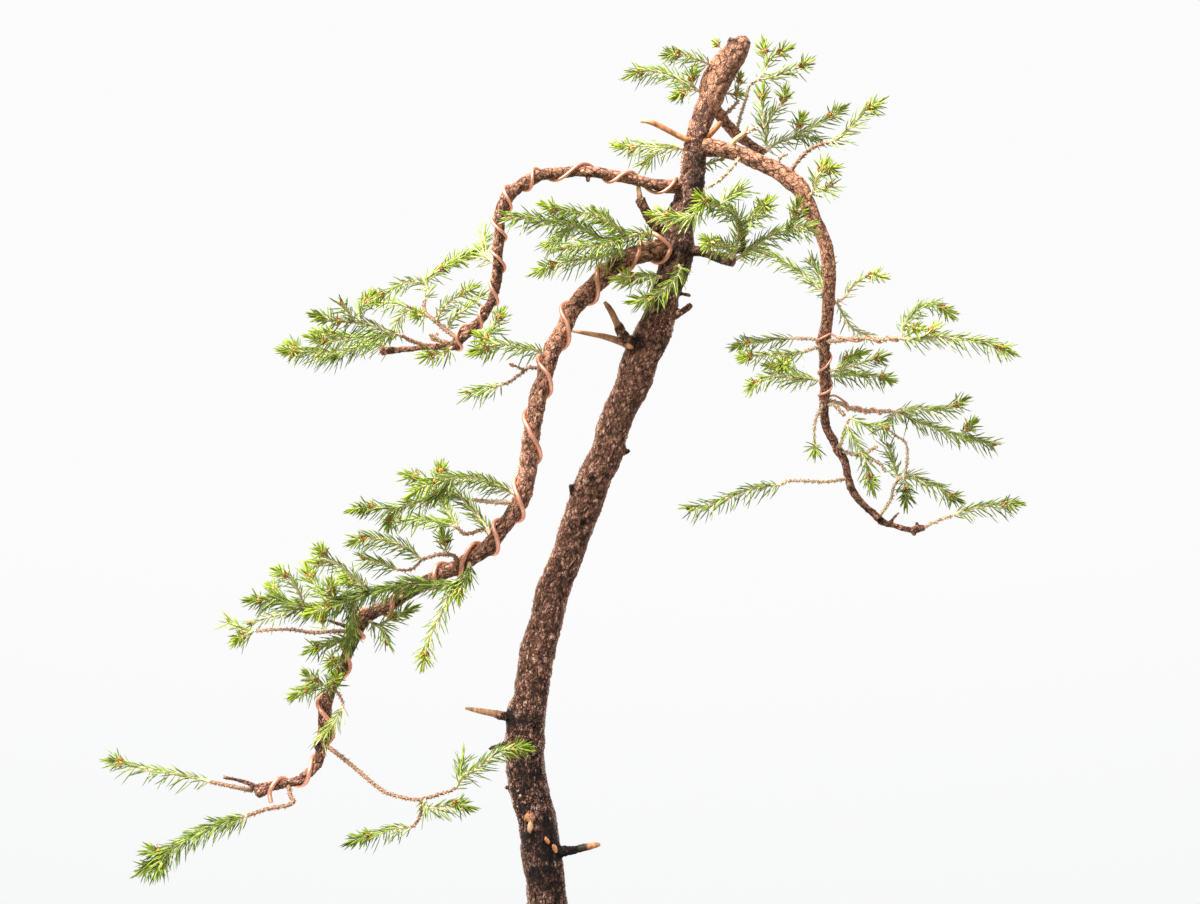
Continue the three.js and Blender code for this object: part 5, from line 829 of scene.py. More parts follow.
def normals_of(obj):
    normals = np.empty(len(obj.data.vertices) * 3)
    obj.data.vertex_normals.foreach_get("vector", normals)
    return normals.reshape(-1, 3)


def choose(obj):
    bpy.ops.object.select_all(action="DESELECT")
    obj.select_set(True)
    bpy.context.view_layer.objects.active = obj


def apply_modifier(obj, kind, **values):
    choose(obj)
    modifier = obj.modifiers.new(kind.title(), kind)
    for key, value in values.items():
        setattr(modifier, key, value)
    bpy.ops.object.modifier_apply(modifier=modifier.name)


def finish_piece(obj, slot, *nodes):
    """Tells the frame how a piece moves, and which solids it stands in for."""
    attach(obj, "root")
    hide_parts(*nodes)


# Finishes. Texture scales are per metre, and a ramp's stops are (position, colour).

# The first is the near-black of the bark's dark spots: knots and scars, and painted shade at limb
# joints and on the crown's right flank
KNOT_AND_SHADE_DARK, WOOD_FOOT = (0.009, 0.006, 0.005), (0.03, 0.018, 0.012)
TAN_LIGHT, PALE_WOOD = (0.66, 0.44, 0.26), (0.74, 0.47, 0.26)
RESIN_DARK, RESIN, RESIN_LIGHT = (0.16, 0.045, 0.015), (0.6, 0.22, 0.07), (0.82, 0.36, 0.13)
CREAM_STEM, GREEN_STEM = (0.84, 0.72, 0.5), (0.82, 0.78, 0.48)
NEEDLE_TIP, SCALE_EDGE = (0.68, 0.72, 0.22), (0.75, 0.5, 0.3)
PORE, PUMICE, LAVA = (0.03, 0.02, 0.015), (0.42, 0.37, 0.31), (0.1, 0.045, 0.035)


def set_stops(node, stops):
    elements = node.color_ramp.elements
    while len(elements) < len(stops):
        elements.new(0.5)
    for element, (position, colour) in zip(elements, stops):
        element.position, element.color = position, (*colour, 1.0)


class Finish:
    """A material's nodes, with short calls for the nodes that the finishes share."""

    def __init__(self, name):
        self.material = bpy.data.materials.new(name)
        self.material.use_nodes = True
        tree = self.material.node_tree
        self.nodes, self.links = tree.nodes, tree.links
        self.shader = self.nodes["Principled BSDF"]
        self.place = self.node("ShaderNodeTexCoord").outputs["Object"]

    def node(self, kind, **values):
        made = self.nodes.new(kind)
        for key, value in values.items():
            setattr(made, key, value)
        return made

    def feed(self, socket, source):
        if isinstance(source, bpy.types.NodeSocket):
            self.links.new(source, socket)
        else:
            socket.default_value = source

    def value(self, name):
        return self.node("ShaderNodeAttribute", attribute_name=name).outputs["Fac"]

    def noise(self, scale, detail=4.0, roughness=0.55, place=None):
        made = self.node("ShaderNodeTexNoise")
        made.inputs["Scale"].default_value = scale
        made.inputs["Detail"].default_value = detail
        made.inputs["Roughness"].default_value = roughness
        self.feed(made.inputs["Vector"], place or self.place)
        return made.outputs["Fac"]

    def cells(self, scale, feature, place):
        made = self.node("ShaderNodeTexVoronoi", feature=feature)
        made.inputs["Scale"].default_value = scale
        self.feed(made.inputs["Vector"], place)
        return made

    def bent(self, place, scale, amount):
        """A place moved about by noise, so that patterns laid on it aren't regular."""
        noise = self.node("ShaderNodeTexNoise")
        noise.inputs["Scale"].default_value = scale
        self.feed(noise.inputs["Vector"], place)
        moved = self.node("ShaderNodeVectorMath", operation="MULTIPLY_ADD")
        self.feed(moved.inputs[0], noise.outputs["Color"])
        moved.inputs[1].default_value = (amount,) * 3
        self.feed(moved.inputs[2], place)
        return moved.outputs[0]

    def stretched(self, scale, place=None):
        made = self.node("ShaderNodeMapping")
        made.inputs["Scale"].default_value = scale
        self.feed(made.inputs["Vector"], place or self.place)
        return made.outputs["Vector"]

    def math(self, operation, first, second=0.0, third=0.0, clamp=False):
        made = self.node("ShaderNodeMath", operation=operation, use_clamp=clamp)
        for socket, source in zip(made.inputs, (first, second, third)):
            self.feed(socket, source)
        return made.outputs[0]

    def product(self, first, second, clamp=False):
        return self.math("MULTIPLY", first, second, clamp=clamp)

    def scaled(self, source, factor, offset, clamp=False):
        return self.math("MULTIPLY_ADD", source, factor, offset, clamp)

    def varied(self, base, source, amount, clamp=False):
        """A value that a noise raises and lowers by up to half the amount."""
        return self.math("ADD", base, self.scaled(source, amount, -amount / 2), clamp=clamp)

    def ramp(self, factor, *stops):
        made = self.node("ShaderNodeValToRGB")
        set_stops(made, stops)
        self.feed(made.inputs["Fac"], factor)
        return made.outputs["Color"]

    def mix(self, factor, first, second, blend="MIX"):
        made = self.node("ShaderNodeMix", data_type="RGBA", blend_type=blend)
        self.feed(made.inputs[0], factor)
        for socket, colour in ((made.inputs[6], first), (made.inputs[7], second)):
            self.feed(socket, (*colour, 1.0) if isinstance(colour, tuple) else colour)
        return made.outputs[2]

    def bump(self, height, strength, distance):
        made = self.node("ShaderNodeBump")
        made.inputs["Strength"].default_value = strength
        made.inputs["Distance"].default_value = distance
        self.feed(made.inputs["Height"], height)
        self.links.new(made.outputs["Normal"], self.shader.inputs["Normal"])

    def surface(self, colour, roughness, metallic=0.0, specular=0.5):
        self.feed(self.shader.inputs["Base Color"], colour)
        self.feed(self.shader.inputs["Roughness"], roughness)
        self.shader.inputs["Metallic"].default_value = metallic
        self.shader.inputs["Specular IOR Level"].default_value = specular
        return self.material


def shade(colour, factor):
    return tuple(min(1.0, channel * factor) for channel in colour)


def blended(first, second, share):
    return tuple(a + (b - a) * share for a, b in zip(first, second))


def bark_finish(settings):
    """Flaking bark: old dark bark and young tan bark, each from groove to lifted edge."""
    finish = Finish("bark")
    grain = finish.node("ShaderNodeCombineXYZ")
    for socket, key in zip(grain.inputs, GRAIN_KEYS):
        finish.feed(socket, finish.value(key))
    grain = finish.stretched((1.0, 1.0, 0.6), grain.outputs[0])
    fine = finish.noise(800.0, 5.0, 0.65)
    specks = finish.noise(1800.0, 3.0, 0.7)
    patches = finish.noise(75.0, 4.0, 0.6)
    where = finish.bent(grain, 240.0, 0.003)
    flakes = finish.cells(620.0, "F1", where)
    edges = finish.cells(620.0, "DISTANCE_TO_EDGE", where).outputs["Distance"]
    seams = finish.cells(230.0, "DISTANCE_TO_EDGE", where).outputs["Distance"]
    own = finish.node("ShaderNodeSeparateColor")
    finish.feed(own.inputs[0], flakes.outputs["Color"])
    # The tone runs from the dark of a groove to the pale edge of a lifted flake; it also carries
    # the painted light of grow_bark, paler on tops, left faces and side rims
    tone = finish.scaled(finish.value("tone"), 0.85, finish.scaled(own.outputs[0], 0.3, -0.06))
    tone = finish.varied(finish.varied(tone, fine, 1.1), patches, 0.8)
    crack = finish.scaled(edges, 6.0, 0.35, clamp=True)
    seam = finish.scaled(seams, 9.0, 0.15, clamp=True)
    calm = finish.product(finish.scaled(tone, 0.72, 0.17, clamp=True), seam, clamp=True)
    tone = finish.scaled(finish.varied(tone, specks, 1.3), 1.75, -0.33, clamp=True)
    tone = finish.product(tone, crack, clamp=True)
    old, young = settings.old_colour[:], settings.young_colour[:]
    old_bark = finish.ramp(tone, (0.0, shade(old, 0.07)), (0.25, shade(old, 0.35)),
                           (0.5, old), (0.75, shade(old, 1.9)), (1.0, settings.old_flake[:]))
    young_bark = finish.ramp(calm, (0.0, shade(young, 0.06)), (0.17, shade(young, 0.25)),
                             (0.42, young), (0.68, shade(young, 1.55)),
                             (1.0, settings.young_flake[:]))
    age = finish.math("SUBTRACT", finish.scaled(patches, 0.5, finish.value("age")), 0.25)
    colour = finish.mix(age, young_bark, old_bark)
    foot = finish.scaled(age, 2.2, -2.2, clamp=True)
    colour = finish.mix(foot, colour, settings.foot_tint[:], blend="MULTIPLY")
    # Dark spots, knots and scars and also painted shade at limb joints and on the crown's right
    # flank, have ragged edges
    dark = finish.value("dark")
    ragged = finish.varied(finish.product(dark, 1.2), fine, 3.0)
    ragged = finish.product(ragged, finish.product(dark, 1.6, clamp=True), clamp=True)
    colour = finish.mix(ragged, colour, KNOT_AND_SHADE_DARK)
    finish.bump(finish.scaled(crack, 0.6, finish.product(fine, 0.6)), 1.0, 0.0014)
    return finish.surface(colour, finish.scaled(fine, 0.3, 0.42), specular=0.22)


def deadwood_finish(settings):
    """Bare weathered wood, grained lengthways, from grey-tan to resin orange."""
    finish = Finish("deadwood")
    base = settings.deadwood_colour[:]
    grain = finish.noise(300.0, 6.0, 0.6, finish.stretched((1.0, 1.0, 0.25)))
    tan = finish.ramp(grain, (0.3, shade(base, 0.35)), (0.5, base), (0.68, TAN_LIGHT))
    orange = finish.ramp(grain, (0.3, RESIN_DARK), (0.5, RESIN), (0.68, RESIN_LIGHT))
    colour = finish.mix(finish.value("resin"), tan, orange)
    colour = finish.mix(finish.value("pale"), colour, PALE_WOOD)
    colour = finish.mix(finish.value("dark"), colour, WOOD_FOOT)
    finish.bump(grain, 0.6, 0.0005)
    return finish.surface(colour, 0.62, specular=0.35)


def twig_finish(settings):
    """The stems of shoots: reddish brown and scaly where old, cream where young."""
    finish = Finish("twig")
    specks = finish.noise(800.0, 5.0, 0.65)
    young = finish.varied(finish.value("young"), specks, 1.1, clamp=True)
    base = settings.stem_colour[:]
    colour = finish.ramp(young, (0.0, shade(base, 0.14)), (0.25, shade(base, 0.5)), (0.5, base),
                         (0.75, blended(base, CREAM_STEM, 0.7)), (1.0, GREEN_STEM))
    finish.bump(specks, 0.6, 0.0004)
    return finish.surface(colour, 0.6, specular=0.2)


def needle_finish(settings):
    """Needles: cream at the foot, greener to the tip; old growth cool, this year's bright."""
    finish = Finish("needles")
    old, fresh, warm = (colour[:] for colour in (settings.old_colour, settings.fresh_colour,
                                                 settings.warm_colour))
    varied = finish.varied(finish.value("shade"), finish.noise(300.0, 3.0), 0.7)
    old_green = finish.ramp(varied, (0.0, shade(old, 0.35)), (0.45, old),
                            (0.8, shade(old, 2.0)), (1.0, settings.foot_colour[:]))
    deep_green = finish.ramp(varied, (0.0, shade(fresh, 0.35)), (0.45, fresh),
                             (0.8, shade(fresh, 1.8)), (1.0, shade(warm, 1.2)))
    warm_green = finish.ramp(varied, (0.0, shade(warm, 0.4)), (0.45, warm),
                             (0.8, shade(warm, 1.5)), (1.0, NEEDLE_TIP))
    tips = finish.mix(finish.value("warm"), deep_green, warm_green)
    colour = finish.mix(finish.value("fresh"), old_green, tips)
    foot = finish.ramp(finish.value("along"), (0.0, (0.95,) * 3), (0.12, (0.75,) * 3),
                       (0.42, (0.0,) * 3))
    colour = finish.mix(foot, colour, settings.foot_colour[:])
    return finish.surface(colour, 0.5, specular=0.15)


def bud_finish(settings):
    """Papery scales of winter buds, brown at the foot and paler at the edge."""
    finish = Finish("bud_scales")
    base = settings.bud_colour[:]
    varied = finish.varied(finish.value("shade"), finish.noise(800.0, 3.0), 0.6)
    colour = finish.ramp(varied, (0.0, shade(base, 0.35)), (0.5, base),
                         (1.0, blended(base, SCALE_EDGE, 0.6)))
    return finish.surface(colour, 0.6, specular=0.3)


def copper_finish(settings):
    """Annealed copper, satin, with faint darker tarnish."""
    finish = Finish("copper_wire")
    tarnish = finish.noise(70.0, 6.0, 0.6)
    base = settings.colour[:]
    colour = finish.ramp(tarnish, (0.3, shade(base, 0.75)), (0.5, base), (0.72, shade(base, 1.12)))
    finish.bump(finish.noise(900.0, 3.0), 0.08, 0.0002)
    return finish.surface(colour, finish.scaled(tarnish, -0.2, 0.66), metallic=1.0)


def clay_finish(settings):
    """Unglazed fired clay, lightly mottled, with fine grog in it."""
    finish = Finish("pot")
    base = settings.colour[:]
    grog = finish.noise(1100.0, 4.0, 0.7)
    mottle = finish.noise(28.0, 5.0, 0.6)
    mixed = finish.scaled(grog, 0.45, finish.product(mottle, 0.55))
    colour = finish.ramp(mixed, (0.3, shade(base, 0.5)), (0.5, base), (0.7, shade(base, 1.5)))
    finish.bump(finish.scaled(grog, 0.5, mottle), 0.35, 0.0004)
    return finish.surface(colour, finish.scaled(grog, 0.25, 0.55), specular=0.35)


def earth_finish(settings):
    """Damp crumbly soil under the granules."""
    finish = Finish("soil")
    crumbs = finish.noise(420.0, 8.0, 0.7)
    base = settings.colour[:]
    colour = finish.ramp(crumbs, (0.32, shade(base, 0.2)), (0.5, shade(base, 0.6)), (0.7, base))
    finish.bump(crumbs, 1.0, 0.0015)
    return finish.surface(colour, 0.9, specular=0.25)


def granule_finish(settings):
    """Granules of fired clay, pumice and lava, one colour for each."""
    finish = Finish("granules")
    pores = finish.noise(1300.0, 5.0, 0.7)
    base = settings.colour[:]
    kinds = finish.ramp(finish.value("kind"), (0.0, shade(base, 0.4)), (0.3, base),
                        (0.55, shade(base, 1.35)), (0.75, PUMICE), (1.0, LAVA))
    colour = finish.mix(finish.scaled(pores, 1.6, -0.45, clamp=True), PORE, kinds)
    finish.bump(pores, 0.7, 0.0006)
    return finish.surface(colour, 0.9, specular=0.25)


def floor_finish(settings):
    finish = Finish("pale_floor")
    base = settings.floor_colour[:]
    faint = finish.ramp(finish.noise(3.0, 3.0), (0.3, shade(base, 0.985)), (0.7, base))
    return finish.surface(faint, 0.7, specular=0.2)

# Wood

TWIG_SIDES, DEADWOOD_SIDES, ROOT_SIDES, FOOT_SIDES = 9, 16, 14, 24
# Where the bark turns from old to young: heights, and how coarse its relief is there
YOUNG_BARK = ([560, 700], [1.0, 0.55])
BROAD_SWELL, SMALL_SWELL = 26.0, 7.0


def add_roots(mould):
    """The root flare, and the foot of the trunk inside the soil."""
    for route in np.array(ROOTS, float):
        line, radii = tapered_line(route[:, :3], route[:, 3], 2.0)
        mould.add(*tube(line, radii, ROOT_SIDES))
    foot = np.array(FOOT, float)
    mould.add(*tube(foot[:, :3], foot[:, 3], FOOT_SIDES))


def limb_skin(name, traits, material):
    """The trunk or a branch with its stubs: tubes that are made into one skin."""
    mould = Mould()
    stubs = [STUBS[stub][:BARK_ENDS.get(stub)] for stub in traits["stubs"]]
    for route in traits["routes"] + stubs:
        line, radii = branch_line(route, 1.6)
        mould.add(*tube(line, radii, max(8, int(radii.max() * 2.6))))
    if name == "trunk_bark":
        add_roots(mould)
    obj = mould.piece(name, [material])
    apply_modifier(obj, "REMESH", mode="VOXEL", voxel_size=traits["voxel"] * MM)
    apply_modifier(obj, "SMOOTH", factor=0.5, iterations=4)
    return obj


def grain_of(points, routes):
    """Each point's place in its limb's own grain: across, across, and along the limb."""
    tracks, start, gap = [], 0.0, 50.0
    for route in routes:
        line, _ = smooth_line(placed(route), 1.5)
        reach = reach_along(line)
        tracks.append((line, *frames_along(line)[1:], reach + start))
        start += reach[-1] + gap
    centres, sides, acrosses, reaches = (np.concatenate(track) for track in zip(*tracks))
    tree = KDTree(len(centres))
    for index, centre in enumerate(centres):
        tree.insert(centre, index)
    tree.balance()
    nearest = np.array([tree.find(point)[1] for point in points])
    away = points - centres[nearest]
    along = np.cross(sides[nearest], acrosses[nearest])
    return np.column_stack([
        (away * sides[nearest]).sum(1), (away * acrosses[nearest]).sum(1),
        reaches[nearest] + (away * along).sum(1),
    ])


def bark_relief(grain, plate, coarse, seed):
    """Height and tone of flaking bark: long plates with lifted lower edges, cracks between."""
    heights, tones = np.empty(len(grain)), np.empty(len(grain))
    shift = Vector((seed * 19.0, seed * 7.0, seed * 3.0))
    noise.seed_set(seed + 1)
    for index, point in enumerate(grain):
        spot = Vector(point) + shift
        # Plates are longer than broad, and their edges are uneven
        spot.z *= 0.62
        spot *= coarse[index]
        spot += noise.noise_vector(spot / (plate * 1.6)) * plate * 0.9
        (near, far, *_), (cell, *_) = noise.voronoi(spot / plate)
        crack = min(1.0, (far - near) * 2.6)
        own = noise.noise(cell * 5.3)
        lift = (cell.z - spot.z / plate) * 0.5 + (cell.x - spot.x / plate) * own * 0.5
        rough = noise.noise(spot / (plate * 0.3)) * coarse[index]
        scaly = noise.noise(spot / (plate * 0.45) + cell) * coarse[index]
        heights[index] = 0.36 * own + 0.5 * (crack - 0.6) + 0.5 * lift + 0.3 * rough + 0.4 * scaly
        tones[index] = (0.47 + 0.34 * own + 0.36 * (crack - 0.7) + 0.26 * lift + 0.3 * rough
                        + 0.4 * scaly)
    return heights, tones


def knot_relief(points):
    """A hollow with a swollen lip at each healed knot."""
    rise = np.zeros(len(points))
    for *point, radius in KNOTS:
        away = np.linalg.norm(points - place(point), axis=1) / radius
        rise += 0.9 * np.exp(-((away - 1.1) / 0.3) ** 2) - 1.2 * np.exp(-(away / 0.6) ** 2)
    return rise


def darkness(points):
    """How dark each point is: full inside a dark spot, and fading out round it."""
    dark = np.zeros(len(points))
    for *point, radius, strength in DARK_SPOTS:
        away = np.linalg.norm(points - place(point), axis=1)
        dark = np.maximum(dark, strength * np.clip(1.6 - away / radius, 0, 1))
    return dark * 0.85


def lumps(points, size, seed):
    """Soft swellings of the given size, from -1 to 1."""
    shift = Vector((seed * 31.0, 11.0, seed * 13.0))
    return np.array([noise.noise((Vector(point) + shift) / size) for point in points])


def grow_bark(name, traits, settings, material, seed):
    """One limb of bark, its skin lifted into flakes and cracks."""
    obj = limb_skin(name, traits, material)
    points, normals = vertices_of(obj), normals_of(obj)
    grain = grain_of(points, traits["routes"])
    # Plates are broader and smoother high on the tree, where the bark is young
    coarse = np.interp(points[:, 2], *YOUNG_BARK)
    heights, tones = bark_relief(grain, traits["plate"], coarse, seed)
    swell = lumps(points, BROAD_SWELL, seed) * 0.3 + lumps(points, SMALL_SWELL, seed + 1) * 0.8
    rise = heights + swell * 0.9 + knot_relief(points)
    points += normals * (settings.relief / MM * traits["relief"] * rise)[:, None]
    set_vertices(obj, points)
    # Painted light: swellings are a little paler, and faces turned up and to the left are painted
    # paler, as if lit from above at the left
    tones += 0.1 * swell + 0.12 * normals[:, 2] - 0.05 * normals[:, 0]
    # Painted highlight: the side rims are painted paler than the front and the back, for the sheen
    # of the bright room at the edges
    tones += 0.55 * normals[:, 0] ** 8 - 0.05
    ages = traits["ages"]
    set_value(obj, "tone", np.clip(tones, 0, 1))
    set_value(obj, "age", np.interp(points[:, 2], list(ages), list(ages.values())))
    set_value(obj, "dark", darkness(points))
    for axis, key in enumerate(GRAIN_KEYS):
        set_value(obj, key, grain[:, axis] * MM)
    obj.data.shade_smooth()
    finish_piece(obj, "bark", "trunk")


def knobs(line, strength):
    """Factors that make a twig's thickness uneven along its line."""
    return np.array([1 + strength * noise.noise(Vector(point) / 2.4) for point in line])


def grow_bare_twigs(material):
    """Leafless twigs, studded with the pegs that their needles fell from."""
    mould, rng, peg = Mould(), random.Random(61), peg_pattern()
    for route in BARE_TWIGS:
        line, radii = branch_line(route, 1.1)
        radii = radii * knobs(line, 0.3)
        mould.add(*tube(line, radii, TWIG_SIDES), young=0.58)
        add_pegs(mould, peg, line, radii, len(line) - 2, 0, rng, 0.84)
    finish_piece(mould.piece("bare_twigs", [material]), "bark", "trunk")


def splintered(route, seed):
    """A stub of bare wood, grooved lengthways: its shape, and each vertex's share of its length."""
    line, radii = branch_line(route, 0.7)
    share = np.linspace(0, 1, len(line))
    # It breaks off thinner over the last part of its length
    radii = radii * (1.05 - 0.35 * np.clip(share - 0.82, 0, 1) / 0.18)
    vertices, faces = tube(line, radii, DEADWOOD_SIDES, rounded=0.2)
    along = np.append(np.repeat(share, DEADWOOD_SIDES), [0.0, 1.0])
    centres = np.vstack([np.repeat(line, DEADWOOD_SIDES, axis=0), line[:1], line[-1:]])
    turns = np.append(np.tile(np.arange(DEADWOOD_SIDES), len(line)), [0, 0])
    grooves = np.array([noise.noise(Vector((turn * 0.9, share_here * 2.0, seed)))
                        for turn, share_here in zip(turns, along)])
    return vertices + unit(vertices - centres) * (grooves * 0.38)[:, None], faces, along


def carve_deadwood(material):
    """Dead stubs stripped to bare wood, and the torn wounds of the trunk."""
    mould = Mould()
    for name, (resin, pale_from, dark_to) in DEADWOOD.items():
        vertices, faces, along = splintered(TIPS.get(name) or STUBS[name], resin * 50)
        mould.add(vertices, faces, resin=resin,
                  pale=np.clip((along - pale_from) * 8, 0, 1),
                  dark=np.clip((dark_to - along) * 8, 0, 1))
    bpy.ops.mesh.primitive_uv_sphere_add(segments=18, ring_count=12, radius=1.0)
    ball, faces = pattern_of(bpy.context.object)
    for *point, half_width, half_height, tilt, resin, pale in WOUNDS:
        ripple = np.array([noise.noise(Vector(vertex) * 2.4 + Vector(point)) for vertex in ball])
        x, y, z = (ball * (1 + 0.28 * ripple)[:, None]).T
        x, z = turned(x * half_width, z * half_height, tilt)
        mould.add(np.column_stack([x, y * 1.5, z]) + place(point), faces, resin=resin, pale=pale)
    finish_piece(mould.piece("deadwood", [material]), "bark", "trunk")


# Training wire

def on_route(points, radii, station):
    """The point and radius of a smooth branch at a station along its list of points."""
    low = int(min(max(math.floor(station), 0), len(points) - 2))
    share = min(max(station - low, 0.0), 1.0)
    ends = [2 * points[0] - points[1], *points, 2 * points[-1] - points[-2]]
    return (bend_between(*ends[low:low + 4], [share])[0],
            radii[low] + (radii[low + 1] - radii[low]) * share)


def wind_round(route, fronts, wire_radius, hand, turns_before, turns_after, loose):
    """The path of a wire wound round a branch, which passes its front at the given stations.

    The hand is 1 or -1 for the way it turns, and loose is how far it wavers off the bark.
    """
    points, radii = placed(route), radii_of(route)
    turns = turns_before + len(fronts) - 1 + turns_after
    path, steps = [], round(turns * 20)
    for step in range(steps + 1):
        turn = turns * step / steps - turns_before
        low = min(max(math.floor(turn), 0), len(fronts) - 2)
        station = fronts[low] + (fronts[low + 1] - fronts[low]) * (turn - low)
        middle, radius = on_route(points, radii, station)
        along = unit(on_route(points, radii, station + 0.3)[0]
                     - on_route(points, radii, station - 0.3)[0])
        front = np.array([0.0, -1.0, 0.0])
        front = unit(front - along * front.dot(along))
        beside = np.cross(front, along) * hand
        reach = radius + wire_radius * 0.9 + loose * noise.noise(Vector((turn, radius, 4.0)))
        angle = 2 * math.pi * turn
        path.append(middle + front * reach * math.cos(angle) + beside * reach * math.sin(angle))
    return path


def upper_wire_path(radius):
    return [*wind_round(UPPER_LEFT, UPPER_WIRE_FRONT, radius, 1, 0.22, 0.7, 0.5),
            place((-95, 545.5, -3)), place((-91, 549, -8))]


def lower_wire_path(radius):
    return [place((55, 620, -6)), place((62, 618.5, -15)),
            *wind_round(LOWER_LEFT, LOWER_WIRE_FRONT, radius, 1, 0, 0.1, 0.7),
            place((-207.5, 221, -18))]


def right_wire_path(radius):
    return [*wind_round(OUTER_TWIG, OUTER_TWIG_FRONT, radius, 1, 0.4, 0.3, 0.1),
            *wind_round(RIGHT, RIGHT_WIRE_FRONT, radius, -1, 0.1, 0.5, 0.1),
            place((186.5, 506, 11)),
            *wind_round(MIDDLE_TWIG, MIDDLE_TWIG_FRONT, radius, -1, 0.25, 0.4, 0.1)]


def wire_piece(name, path, radius, material):
    """A round wire bent along a path, as a curve with a round bevel made into a mesh."""
    line, _ = smooth_line(np.array(path), 1.4)
    curve = bpy.data.curves.new(f"copper_{name}", "CURVE")
    curve.dimensions = "3D"
    curve.bevel_depth = radius * MM
    curve.bevel_resolution = 3
    curve.use_fill_caps = True
    spline = curve.splines.new("POLY")
    spline.points.add(len(line) - 1)
    for point, spot in zip(spline.points, line):
        point.co = (*(spot * MM), 1.0)
    obj = bpy.data.objects.new(curve.name, curve)
    bpy.context.collection.objects.link(obj)
    choose(obj)
    bpy.ops.object.convert(target="MESH")
    obj = bpy.context.object
    bpy.ops.object.mode_set(mode="EDIT")
    bpy.ops.mesh.select_all(action="SELECT")
    bpy.ops.mesh.remove_doubles(threshold=0.01 * MM)
    bpy.ops.mesh.normals_make_consistent(inside=False)
    bpy.ops.object.mode_set(mode="OBJECT")
    obj.data.materials.clear()
    obj.data.materials.append(material)
    bpy.ops.object.shade_smooth_by_angle(angle=math.radians(40))
    finish_piece(obj, "copper_wire", f"wire_{name}")


# Sprays

GOLDEN = math.pi * (3 - math.sqrt(5))
WOOD_ROUTES = [TRUNK, UPPER_LEFT, LOWER_LEFT, RIGHT, BEHIND, FORWARD, OUTER_TWIG, MIDDLE_TWIG]
NEEDLE_SLOT, STEM_SLOT, BUD_SLOT = 0, 1, 2
STEM_SIDES, BUD_SCALES = 7, 15
PEG_GAP, PEG_WIDTH = 0.85, 1.15
# A shoot's line, the distances along it, and how far along it its bare part ends, this year's
# growth starts and its stem ends, all in millimetres. It has grown this year or it hasn't.
Shoot = namedtuple("Shoot", "line reach bare_end bud_start length grown")


def pattern_of(obj):
    """The vertices and faces of a modelled pattern, which is then taken away."""
    pattern = vertices_of(obj) * MM, [tuple(face.vertices) for face in obj.data.polygons]
    bpy.data.objects.remove(obj)
    return pattern


def model_spike(foot, steps, tip):
    """A four-sided spike one unit long and one wide, grown from its foot ring by ring."""
    bpy.ops.mesh.primitive_circle_add(vertices=4, radius=foot, fill_type="NGON")
    bpy.ops.object.mode_set(mode="EDIT")
    for rise, growth in steps:
        bpy.ops.mesh.extrude_region_move(TRANSFORM_OT_translate={"value": (0, 0, rise)})
        bpy.ops.transform.resize(value=(growth, growth, 1))
    bpy.ops.mesh.extrude_region_move(TRANSFORM_OT_translate={"value": (0, 0, tip)})
    bpy.ops.mesh.merge(type="CENTER")
    bpy.ops.mesh.select_all(action="SELECT")
    bpy.ops.mesh.normals_make_consistent(inside=False)
    bpy.ops.object.mode_set(mode="OBJECT")
    return pattern_of(bpy.context.object)


def needle_pattern():
    return model_spike(0.3, ((0.1, 1.6), (0.35, 1.05), (0.35, 0.8)), 0.2)


def peg_pattern():
    return model_spike(0.5, ((0.7, 0.7),), 0.3)


def scale_pattern():
    return model_spike(0.25, ((0.35, 1.7), (0.3, 0.85)), 0.35)


def lay_spikes(pattern, feet, ways, bends, lengths, widths, depths):
    """Copies of a pattern, each from its foot along its way, the tip moved by its bend."""
    shape, faces = pattern
    sides = unit(np.cross(ways, bends))
    uppers = np.cross(sides, ways)
    x, y, z = shape.T
    vertices = (
        feet[:, None]
        + sides[:, None] * (widths[:, None] * x)[..., None]
        + uppers[:, None] * (depths[:, None] * y)[..., None]
        + ways[:, None] * (lengths[:, None] * z)[..., None]
        + bends[:, None] * (lengths[:, None] * z ** 2)[..., None]
    )
    count = len(shape)
    laid = [tuple(corner + start * count for corner in face)
            for start in range(len(feet)) for face in faces]
    return vertices.reshape(-1, 3), laid, np.tile(z, len(feet))


def spiral_round(line, spots, turns):
    """The samples of a line at spots along it, and the directions along and out of it there."""
    along, side, across = frames_along(line)
    pick = np.clip(np.searchsorted(reach_along(line), spots), 0, len(line) - 1)
    return pick, along[pick], around(side[pick], across[pick], turns)


def add_pegs(mould, pattern, line, radii, last, slot, rng, young):
    """Tiny pegs in a spiral round a bare stem, from its foot to sample number last."""
    spots = np.arange(1, reach_along(line)[last], PEG_GAP)
    if len(spots) < 2:
        return
    turns = np.arange(len(spots)) * GOLDEN + np.array([rng.uniform(-0.4, 0.4) for _ in spots])
    pick, along, out = spiral_round(line, spots, turns)
    feet = line[pick] + out * (radii[pick] * 0.8)[:, None]
    sizes = np.array([rng.uniform(1.1, 1.9) for _ in spots])
    widths = np.full(len(spots), PEG_WIDTH)
    vertices, faces, _ = lay_spikes(
        pattern, feet, unit(out + along * 0.75), along * 0.2, sizes, widths, widths)
    mould.add(vertices, faces, slot, young=young)


def wood_samples():
    """Points along all limbs with their radii, to keep needles out of the wood."""
    spots, sizes = zip(*(branch_line(route, 2.0) for route in WOOD_ROUTES))
    return np.vstack(spots), np.concatenate(sizes)


def clear_of_wood(points, wood, room):
    """Whether each point stands off the wood by more than the given room."""
    spots, sizes = wood
    away = np.linalg.norm(points[:, None] - spots[None], axis=2) - sizes
    return away.min(axis=1) > room


